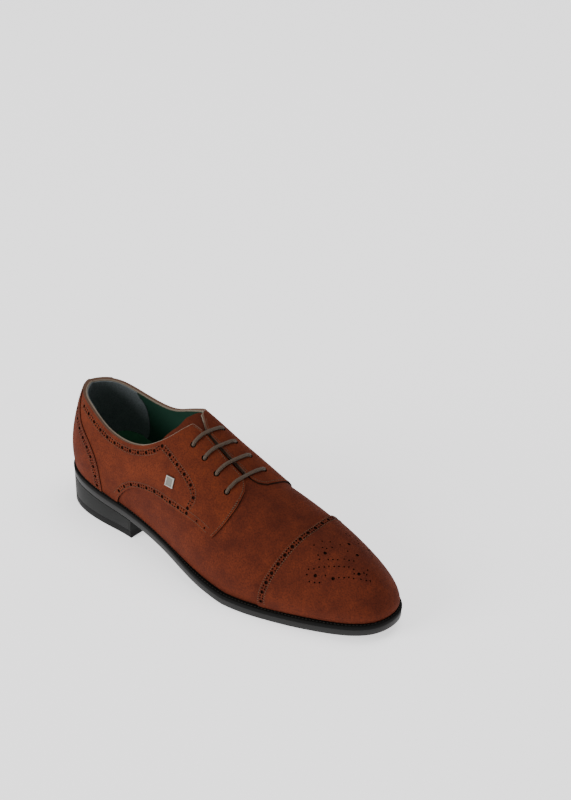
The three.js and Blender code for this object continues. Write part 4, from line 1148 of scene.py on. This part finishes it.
def quarter_rows(side):
    """A quarter's holes and threads. Slices drop the ends of lines, under the welt or near a corner."""
    seam_row = offset_line(seam_line, SEAM_ROW)[8:]
    holes = brogue_row(*side_line(side, seam_row[seam_row[:, 0] < SEAM_ROW_END], QUARTER_TOP), SEAM_PITCH, 2)
    lone = side_line(side, seam_row[np.searchsorted(seam_row[:, 0], LONE_HOLES)], QUARTER_TOP)
    holes += [(p, n, LONE_RADIUS) for p, n in zip(*lone)]
    stay_line = spline(EYESTAY, 60)
    stay, stay_normal = side_line(side, stay_line, QUARTER_TOP)
    holes += brogue_row(stay, stay_normal, SEAM_PITCH)[1:]
    collar, normal = collar_line(side, COLLAR_ROW, QUARTER_TOP, COLLAR_HOLES_FROM[side], COLLAR_HOLES_TO)
    # The collar's row ends on the first hole of the facing's.
    collar, normal = np.vstack([collar, stay[:1]]), np.vstack([normal, stay_normal[:1]])
    holes += brogue_row(collar, normal, COLLAR_PITCH, 2)
    threads = [side_line(side, offset_line(seam_line, shift)[6:-3], QUARTER_TOP) for shift in SEAM_THREADS]
    for below in COLLAR_THREADS:
        threads.append(collar_line(side, below, QUARTER_TOP, COLLAR_THREADS_FROM[side], COLLAR_THREADS_TO))
    threads += [side_line(side, offset_line(stay_line, shift)[2:-3], QUARTER_TOP) for shift in STAY_THREADS]
    threads.append(facing_line(side, FACING_THREAD))
    return holes, threads


def make_quarter(side, name, holes):
    """A skin over the wall, kept within the quarter's outline and cut back where the facings part."""
    made = skin(name, 0.0, QUARTER_TOP, QUARTER_MATERIALS)
    middle = float(ridge_path((THROAT_BACK + THROAT_FRONT) / 2))
    low, high = (-FAR, middle) if side == LATERAL else (middle, FAR)
    outline = quarter_outline(side, QUARTER_GAP)
    cut(made, side_prism("quarter_block", outline, low, high, QUARTER_MATERIALS, CUT_EDGE_SHADE), "INTERSECT")
    cut(made, plan_prism("flare_block", flare_outline(), QUARTER_MATERIALS, CUT_EDGE_SHADE))
    cut(made, punches("quarter_punches", holes, PUNCH_REACH, hole_shadow))
    cut_eyelets(made, (side,))
    return made


def cap_line(shift):
    """The cap's edge moved forward by a shift, laid on the surface from one feather line to the other."""
    angles = np.linspace(0.10, RIGHT_ANGLE - 1e-3, 160)
    points, normals = [], []
    for side in SIDES:
        low, high = np.full(angles.shape, 0.4), np.full(angles.shape, 0.999)
        for _ in range(40):
            s = (low + high) / 2
            p = rib_point(side, s, angles) + form_normal(side, s, angles) * CAP_TOP
            out = np.hypot(p[:, 0] - CAP_CENTRE[0], p[:, 1] - CAP_CENTRE[1]) > CAP_RADIUS + shift
            high = np.where(out, s, high)
            low = np.where(out, low, s)
        p, n = form_point(side, s, angles, CAP_TOP), form_normal(side, s, angles)
        points.append(p if side == LATERAL else p[::-1])
        normals.append(n if side == LATERAL else n[::-1])
    return np.concatenate(points), np.concatenate(normals)


# Medallion: holes charted in half millimetres, seen from above: along, aside. Those past FAR_SIDE
# repeat on the other side of MEDALLION_MIDDLE.
MEDALLION_BIG = [(247, -11), (252.5, 8.5), (263, 4.5), (273.5, -7), (261, -19.5), (249.5, -24.5)]
MEDALLION_SMALL = [
    (237.5, -11.5), (243, -9), (245.5, -7.5), (247.5, -4), (244, -15), (246.5, -16.5), (251.5, -13),
    (254, -11), (256.5, -9), (259.5, -5.5), (262.5, -4), (265, -2), (243.5, -24.5), (246.5, -22.5),
    (249, -20), (252, -18), (254.5, -16), (257.5, -14), (260, -12), (263, -10), (265.5, -8),
    (244, -27), (247.5, -28.5), (251, -27), (254, -25.5), (255.5, -21), (264, -17), (267, -15),
    (269.5, -13), (272.5, -11.5), (276.5, -8.5), (279.5, -6.5), (281.5, -4.5), (269, -7), (271, -9),
    (275.5, -4), (277.5, -3.5), (276, -0.5), (239.5, -5), (243.5, -1), (249.5, 2.5), (256.5, 2)]
MEDALLION_RADII = (1.2, 0.6)
FAR_SIDE, MEDALLION_MIDDLE = -14, 0.5


def medallion_holes():
    """The medallion's holes, laid on the cap."""
    holes = []
    for spots, radius in zip((MEDALLION_BIG, MEDALLION_SMALL), MEDALLION_RADII):
        repeated = [(x, 2 * MEDALLION_MIDDLE - y) for x, y in spots if y < FAR_SIDE]
        at, normal = plan_spots(spots + repeated, CAP_TOP)
        holes += [(p, n, radius) for p, n in zip(at, normal)]
    return holes


def make_cap():
    """All of the form ahead of the cap's curved edge, punched beside that edge and with the medallion."""
    made = skin("toe_cap_panel", 0.0, CAP_TOP, PANEL_MATERIALS)
    cut(made, plan_prism("cap_block", cap_outline(), PANEL_MATERIALS, CUT_EDGE_SHADE), "INTERSECT")
    holes = brogue_row(*cap_line(CAP_ROW), CAP_PITCH, 1.5, 1.5) + medallion_holes()
    cut(made, punches("cap_punches", holes, PUNCH_REACH, hole_shadow))
    return made


def counter_rows():
    """The counter's holes and threads, down both sides."""
    holes, threads = [], []
    for side in SIDES:
        line = side_line(side, offset_line(counter_line, COUNTER_ROW)[6:-9], COUNTER_TOP)
        holes += brogue_row(*line, COUNTER_PITCH, 1, 1)
        for shift in COUNTER_THREADS:
            line = offset_line(counter_line, shift)[4:]
            threads.append(side_line(side, line, COUNTER_TOP, COUNTER_CLEAR))
    return holes, threads


def make_counter(holes):
    """The thicker panel round the heel."""
    made = skin("heel_counter_panel", 0.0, COUNTER_TOP, PANEL_MATERIALS)
    block = side_prism("counter_block", counter_outline(), -FAR, FAR, PANEL_MATERIALS, CUT_EDGE_SHADE)
    cut(made, block, "INTERSECT")
    cut(made, punches("counter_punches", holes, COUNTER_REACH, hole_shadow))
    return made


def make_tongue():
    """A sheet under the wall, closed across the throat and cut to the tongue's outline."""
    under = -TONGUE_DEPTH - TONGUE_THICKNESS
    made = skin("tongue_leather", under, -TONGUE_DEPTH, TONGUE_MATERIALS, closed=True)
    cut(made, plan_prism("tongue_block", tongue_outline(), TONGUE_MATERIALS, CUT_EDGE_SHADE), "INTERSECT")
    return made


def inside_patch(name, outline, material):
    """A thin layer on the lining, kept within an outline in side view."""
    made = skin(name, -GRIP_DEPTH, -WALL, [material, material])
    cut(made, side_prism("patch_block", outline, -FAR, FAR, [material, material]), "INTERSECT")
    return made


def make_grip():
    """The suede grip round the inside of the heel."""
    front = spline(GRIP, 40)
    outline = np.concatenate([
        [(BEHIND, ABOVE), (front[0][0], ABOVE)], front, GRIP_FOOT, [(BEHIND, GRIP_FOOT[-1][1])]])
    return inside_patch("heel_grip", outline, grip_suede)


def make_sock_edge():
    """The sock's turned-up edge, from under the grip forward to where it meets the sock."""
    outline = np.concatenate([
        [(BEHIND, BELOW), (SOCK_END[0], BELOW), SOCK_END], np.array(GRIP_FOOT) - (0, GRIP_GAP),
        [(BEHIND, GRIP_FOOT[-1][1] - GRIP_GAP)]])
    # The edge takes the sock's lightened green, painted light.
    return inside_patch("sock_edge", outline, sock_leather_painted_light)


wall, lining = make_wall(), make_lining()
lateral_holes, thread_lines = quarter_rows(LATERAL)
medial_holes, medial_threads = quarter_rows(MEDIAL)
lateral_quarter = make_quarter(LATERAL, "quarter_lateral_panel", lateral_holes)
medial_quarter = make_quarter(MEDIAL, "quarter_medial_panel", medial_holes)
cap = make_cap()
counter_holes, counter_threads = counter_rows()
counter = make_counter(counter_holes)
thread_lines += medial_threads + [cap_line(shift) for shift in CAP_THREADS] + counter_threads
stitches = stitch_rows("panel_stitches", thread_lines, STITCH_PITCH, *STITCH_SIZE, thread)
# Needle holes: small dents in the dark hole colour, painted shadow between the stitches.
needle_lines = [(line[1:], normal[1:]) for line, normal in thread_lines]
needle_holes = stitch_rows("needle_holes", needle_lines, STITCH_PITCH, *NEEDLE_SIZE, hole_shadow)
tongue, grip, sock_edge = make_tongue(), make_grip(), make_sock_edge()


def tube(name, path, radius, sides, material):
    """A round cord along a path, carried without twist and closed at both ends."""
    path = np.asarray(path, float)
    n = len(path)
    tangent = unit(np.gradient(path, axis=0))
    upright = abs(tangent[0][2]) >= 0.9
    normal = unit(np.cross(tangent[0], (1.0, 0.0, 0.0) if upright else (0.0, 0.0, 1.0)))
    turns = np.arange(sides) * 2 * math.pi / sides
    rings = []
    for i in range(n):
        normal = unit(normal - tangent[i] * np.dot(normal, tangent[i]))
        other = np.cross(tangent[i], normal)
        rings.append(path[i] + radius * (np.cos(turns)[:, None] * normal + np.sin(turns)[:, None] * other))
    faces = []
    for i in range(n - 1):
        for k in range(sides):
            m = (k + 1) % sides
            faces.append((i * sides + k, i * sides + m, (i + 1) * sides + m, (i + 1) * sides + k))
    faces.append(tuple(range(sides - 1, -1, -1)))
    faces.append(tuple((n - 1) * sides + k for k in range(sides)))
    return mesh_object(name, np.concatenate(rings), faces, [material])


RIM_PROBE = 0.03


def rim_path(depth, lift, sides=SIDES, start=0.0, end=0.40):
    """The mouth's edge, from the lateral facing back round the heel to the medial, or a part of one side."""
    parts = []
    for side in sides:
        s = np.linspace(start, end, 420)
        a = mouth_angle(side, s)
        edge = form_point(side, s, a, depth)
        lower = form_point(side, s, np.maximum(a - RIM_PROBE, 0), 0.0)
        edge = edge + unit(form_point(side, s, a, 0.0) - lower) * lift
        parts.append(edge[::-1] if side == LATERAL else edge[1:])
    return np.concatenate(parts)


def edge_cord(name, path, pitch, radius):
    """A thin rolled edge along a path, in even steps."""
    return tube(name, resample(path, np.ones_like(path), pitch)[0], radius, 10, raw_edge)


collar_edge = edge_cord("collar_edge", rim_path(-1.45, 0.05), 1.5, 0.6)
facing_edge = edge_cord("facing_edge", rim_path(0.85, 0.0, (LATERAL,), 0.30, 0.415), 1.0, 0.45)


# Rims of the plates from below: offset from the outline, share of the height.
SOLE_RIM = [(-0.9, 0), (-0.5, 0.08), (-0.3, 0.2), (-0.3, 0.86), (-0.4, 0.95), (-0.6, 1)]
HEEL_RIM = [(-0.5, 0), (-0.35, 0.02), (-0.35, 1)]
LIFT_RIM = [(-0.9, 0), (-0.5, 0.06), (-0.35, 0.14), (-0.35, 0.97), (-0.5, 1)]
SOCK_RIM = [(-INSOLE_INSET, 0), (-INSOLE_INSET, 1)]
# The welt's section: offset, height over the sole line, whether the margin counts.
WELT_SECTION = [
    (-8, WELT_BOTTOM, False), (-0.1, WELT_BOTTOM, True), (0, WELT_BOTTOM + 0.4, True),
    (0, WELT_TOP - 0.7, True), (-0.25, WELT_TOP - 0.25, True), (-0.7, WELT_TOP, True), (-8, WELT_TOP, False)]
# Stitches on the welt: how far in, pitch, then length and width, and how far they stand out.
WELT_INSET, WELT_PITCH, WELT_STITCH, WELT_LIFT = 1.7, 2.6, (2.0, 0.7), 0.05
# Ribs along a plate that ends at the heel's breast, and strips across every plate.
PLATE_RIBS, PLATE_STRIPS = 150, 8
HEEL_LAP = 0.1


def plate(name, rim, low, high, use_margin, end_share, material):
    """A plate that follows the outline: the rim gives its side's offsets and shares of the height."""
    shares = SHARES if end_share == 1 else np.linspace(0, end_share, PLATE_RIBS + 1)
    stations, strips = len(shares), PLATE_STRIPS
    across = np.linspace(0, 1, strips + 1)[None, :, None]
    grid = np.empty((len(rim), stations, strips + 1, 3))
    for r, (offset, lift) in enumerate(rim):
        lateral = np.stack(rib_edge(LATERAL, shares, offset, use_margin), -1)[:, None]
        medial = np.stack(rib_edge(MEDIAL, shares, offset, use_margin), -1)[:, None]
        flat = lateral * (1 - across) + medial * across
        base, top = low(flat[..., 0]), high(flat[..., 0])
        grid[r, ..., :2] = flat
        grid[r, ..., 2] = base + (top - base) * lift
    index = np.arange(grid.size // 3).reshape(grid.shape[:-1])
    last = len(rim) - 1
    faces = []
    for i in range(stations - 1):
        j = i + 1
        for c in range(strips):
            d = c + 1
            faces.append((index[last, i, c], index[last, j, c], index[last, j, d], index[last, i, d]))
            faces.append((index[0, i, c], index[0, i, d], index[0, j, d], index[0, j, c]))
        for r in range(last):
            q = r + 1
            faces.append((index[r, i, 0], index[r, j, 0], index[q, j, 0], index[q, i, 0]))
            faces.append((index[r, i, -1], index[q, i, -1], index[q, j, -1], index[r, j, -1]))
    for r in range(last):
        q = r + 1
        for c in range(strips):
            d = c + 1
            faces.append((index[r, 0, c], index[q, 0, c], index[q, 0, d], index[r, 0, d]))
            faces.append((index[r, -1, c], index[r, -1, d], index[q, -1, d], index[q, -1, c]))
    return mesh_object(name, grid.reshape(-1, 3), faces, [material])


def ring_strip(name, section, material):
    """A strip round the whole outline from a section of offset, height and whether the margin counts."""
    rows = []
    for side, i in RING:
        row = []
        for offset, height, use_margin in section:
            x, y = rib_edge(side, SHARES[i], offset, use_margin)
            row.append((float(x), float(y), float(sole_line(x)) + height))
        rows.append(row)
    points = np.array(rows)
    n, m = points.shape[:2]
    index = np.arange(n * m).reshape(n, m)
    faces = [(index[i, k], index[(i + 1) % n, k], index[(i + 1) % n, (k + 1) % m], index[i, (k + 1) % m])
             for i in range(n) for k in range(m)]
    return mesh_object(name, points.reshape(-1, 3), faces, [material])


def breast_share():
    """The share of a side where the heel ends. Only the rear of the side is searched, where x rises."""
    shares = np.linspace(0, 0.6, 12001)
    return float(np.interp(HEEL_LENGTH, rib_foot(LATERAL, shares)[0], shares))


def level(height):
    """A level height line."""
    return lambda x: np.full_like(np.asarray(x, float), height)


def raised(line, rise):
    """A height line moved up."""
    return lambda x: line(x) + rise


def welt_line():
    """The line of stitches on the welt's top, all round."""
    points = []
    for side, i in RING:
        x, y = rib_edge(side, SHARES[i], -WELT_INSET, True)
        points.append((float(x), float(y), float(sole_line(x)) + WELT_TOP + WELT_LIFT))
    points.append(points[0])
    points = np.array(points)
    return points, np.tile((0.0, 0.0, 1.0), (len(points), 1))


BREAST = breast_share()
welt = ring_strip("welt_strip", WELT_SECTION, black_welt)
outsole = plate("outsole_plate", SOLE_RIM, sole_line, raised(sole_line, WELT_BOTTOM), True, 1, black_sole)
heel = plate("heel_stack", HEEL_RIM, level(TOP_LIFT), raised(sole_line, HEEL_LAP), True, BREAST, black_heel)
top_lift = plate("heel_rubber", LIFT_RIM, level(0.0), level(TOP_LIFT), True, BREAST, black_rubber)
# The sock takes the lightened green, painted light for the dim inside of the shoe.
sock = plate("green_sock_leather", SOCK_RIM, feather_line, raised(feather_line, INSOLE_THICKNESS), False, 1,
             sock_leather_painted_light)
welt_stitches = stitch_rows("welt_stitches", [welt_line()], WELT_PITCH, *WELT_STITCH, welt_thread)


# The lace: radius, strands each way round the cord, and the length of cord between two strands.
LACE_RADIUS, STRANDS, STRAND_PITCH = 1.3, 4, 1.1
# The cord's path at an eyelet: heights in the hole, then distances from the hole and heights over the form.
LACE_DIVE = (-4.5, -2.0, 0.9)
LACE_RISE = ((1.3, 2.2), (3.2, 2.65), (6.0, 2.7), (9.0, 2.7))
# Points of the path stop at this share of the way to the ridge.
LACE_STOP = 0.85


def lace_material():
    """Waxed braided cord: slanted strands both ways, drawn from the cord's own length and turn, pale on top
    and dark between as painted shade in the grooves, with a dull sheen."""
    material, nodes, links, shader = new_material("brown_lace")
    uv = add_node(nodes, links, "ShaderNodeUVMap", {"uv_map": "cord"})
    parts = add_node(nodes, links, "ShaderNodeSeparateXYZ", {}, {"Vector": uv.outputs[0]})
    waves = []
    for sign in (1, -1):
        around = add_node(nodes, links, "ShaderNodeMath", {"operation": "MULTIPLY"}, {
            0: parts.outputs["Y"], 1: sign * STRANDS * 2 * math.pi})
        along = add_node(nodes, links, "ShaderNodeMath", {"operation": "MULTIPLY_ADD"}, {
            0: parts.outputs["X"], 1: 2 * math.pi / STRAND_PITCH, 2: around.outputs[0]})
        wave = add_node(nodes, links, "ShaderNodeMath", {"operation": "SINE"}, {0: along.outputs[0]})
        waves.append(wave.outputs[0])
    weave = add_node(nodes, links, "ShaderNodeMath", {"operation": "MAXIMUM"}, {0: waves[0], 1: waves[1]})
    height = add_node(nodes, links, "ShaderNodeMapRange", {}, {
        "Value": weave.outputs[0], "From Min": -0.2, "From Max": 1.0})
    # Darker in the grooves between the strands: painted shade.
    colour = mix_colour(nodes, links, height.outputs[0], linear("281b12"), linear("52402e"))
    links.new(colour, shader.inputs["Base Color"])
    bump = add_node(nodes, links, "ShaderNodeBump", {}, {
        "Height": height.outputs[0], "Strength": 0.6, "Distance": 0.2 * MM})
    links.new(bump.outputs[0], shader.inputs["Normal"])
    shader.inputs["Roughness"].default_value = 0.75
    shader.inputs["Sheen Weight"].default_value = 0.05
    return material


def lace_path(number, row):
    """Up through the lateral eyelet, across both facings and down through the medial one."""
    middle_x = row[0] * UPPER_LENGTH
    middle = np.array([middle_x, float(ridge_path(middle_x))])
    ends = []
    for side in SIDES:
        centre, normal, _ = eyelet_spots[side][number]
        chain = [centre + normal * height for height in LACE_DIVE]
        way = middle - centre[:2]
        for distance, height in LACE_RISE:
            part = distance / math.hypot(*way)
            if part <= LACE_STOP:
                point, out = plan_spot(side, *(centre[:2] + way * part))
                chain.append(point + out * height)
        ends.append(chain)
    return spline(ends[0] + ends[1][::-1], 72)


lace_cord = lace_material()


def lace_bar(number, row):
    """A bar of the lace, with the cord's length in millimetres and its turn laid on it for the strands."""
    path = lace_path(number, row)
    made = tube("lace_bar_%d_cord" % (number + 1), path, LACE_RADIUS, 20, lace_cord)
    lengths = np.concatenate([[0], np.cumsum(np.linalg.norm(np.diff(path, axis=0), axis=1))])
    layer = made.data.uv_layers.new(name="cord")
    points = to_part(path)
    for polygon in made.data.polygons:
        for loop in polygon.loop_indices:
            corner = np.array(made.data.vertices[made.data.loops[loop].vertex_index].co)
            ring = int(np.argmin(((points - corner) ** 2).sum(1)))
            arm = corner - points[ring]
            tangent = unit(points[min(ring + 1, len(points) - 1)] - points[max(ring - 1, 0)])
            across = unit(np.cross(tangent, (0, 0, 1.0)))
            turn = math.atan2(float(np.dot(arm, np.cross(tangent, across))), float(np.dot(arm, across)))
            layer.data[loop].uv = (lengths[ring], turn / (2 * math.pi))
    return made


laces = [lace_bar(i, row) for i, row in enumerate(EYELETS)]

# The small plate from its foot to its recess: half width, height. A gap keeps it off the quarter.
BADGE_STEPS = [(4.0, 0.0), (4.0, 0.75), (3.7, 1.15), (3.2, 1.15), (3.0, 0.85)]
BADGE_GAP = 0.1


def make_plate():
    """A bare square plate with a plain recess, square to the quarter."""
    point, normal = plan_spot(LATERAL, BADGE[0] * UPPER_LENGTH, BADGE[1] * BALL_WIDTH, 0.7)
    centre = point + normal * (QUARTER_TOP + BADGE_GAP)
    forward = unit(np.array([1.0, 0, 0]) - normal * normal[0])
    upward = np.cross(normal, forward)
    points, faces = [], []
    for half, lift in BADGE_STEPS:
        for ahead, above in ((-1, -1), (1, -1), (1, 1), (-1, 1)):
            points.append(centre + forward * half * ahead + upward * half * above + normal * lift)
    for first in range(0, len(points) - 4, 4):
        for k in range(4):
            m = (k + 1) % 4
            faces.append((first + k, first + m, first + 4 + m, first + 4 + k))
    faces.append((3, 2, 1, 0))
    faces.append(tuple(range(len(points) - 4, len(points))))
    finishes = [0] * (len(faces) - 1) + [1]
    return mesh_object("blank_plate_face", points, faces, [plate_metal, plate_recess], finishes)


small_plate = make_plate()


def dress(obj, slot_name, *nodes):
    """Ties a mesh to the shoe's body and hides the solid that it replaces, if any. The slot name is not
    used.
    """
    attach(obj, "root")
    if nodes:
        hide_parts(*nodes)


# Shade the pieces smooth, then tie each to the shoe's body and hide the solid that it replaces.
for obj in (wall, lining, lateral_quarter, medial_quarter, cap, counter, tongue, grip, sock_edge,
            collar_edge, facing_edge, welt, outsole, heel, top_lift, sock, *laces):
    soften(obj)
soften(small_plate, 20)

dress(wall, "suede", "upper")
dress(lining, "suede")
dress(lateral_quarter, "suede", "quarter_lateral")
dress(medial_quarter, "suede", "quarter_medial")
dress(cap, "suede", "toe_cap")
dress(counter, "suede", "heel_counter")
dress(stitches, "suede")
dress(needle_holes, "suede")
dress(collar_edge, "suede")
dress(facing_edge, "suede")
dress(tongue, "tongue_suede", "tongue")
dress(grip, "suede")
dress(sock, "sock", "insole")
dress(sock_edge, "sock")
dress(welt, "welt", "welt")
dress(welt_stitches, "welt")
dress(outsole, "sole", "outsole")
dress(heel, "heel", "heel_block")
dress(top_lift, "rubber", "heel_top_lift")
for number, lace in enumerate(laces):
    dress(lace, "lace", "lace_bar_%d" % (number + 1))
dress(small_plate, "plate", "blank_plate")

FLOOR_HALF, FLOOR_GLOW, SKY_STRENGTH = 6, 1.2, 0.35


def make_floor():
    """A matte white floor with a faint glow of its own, so that it stays pale round the shoe."""
    corners = [(-FLOOR_HALF, -FLOOR_HALF, 0), (FLOOR_HALF, -FLOOR_HALF, 0), (FLOOR_HALF, FLOOR_HALF, 0),
               (-FLOOR_HALF, FLOOR_HALF, 0)]
    mesh = bpy.data.meshes.new("floor")
    mesh.from_pydata(corners, [], [(0, 1, 2, 3)])
    material = plain_material("pale_floor", "f2f1f2", 0.9, bump=0.0, specular=0.1)
    shader = material.node_tree.nodes["Principled BSDF"]
    shader.inputs["Emission Color"].default_value = linear("f4f3f4")
    shader.inputs["Emission Strength"].default_value = FLOOR_GLOW
    mesh.materials.append(material)
    return add_object("floor", mesh)


def light_world():
    """An even white sky, dim enough to leave the shadows to the lamps."""
    world = bpy.data.worlds.new("studio")
    bpy.context.scene.world = world
    world.use_nodes = True
    background = world.node_tree.nodes["Background"]
    background.inputs["Color"].default_value = (1, 1, 1, 1)
    background.inputs["Strength"].default_value = SKY_STRENGTH


def area_light(name, location, target, size, power):
    data = bpy.data.lights.new(name, "AREA")
    data.shape = "DISK"
    data.size = size
    data.energy = power
    lamp = add_object(name, data)
    direction = Vector(target) - Vector(location)
    lamp.location = location
    lamp.rotation_euler = direction.to_track_quat("-Z", "Y").to_euler()


make_floor()
light_world()
# A soft lamp low on the lateral side, and a wide one high over the shoe.
area_light("key", (-1.6, -3.6, 1.7), (0, 0, 0.05), 2.6, 150)
area_light("top", (0.3, 1.1, 3.9), (0, 0, 0), 3.0, 92)
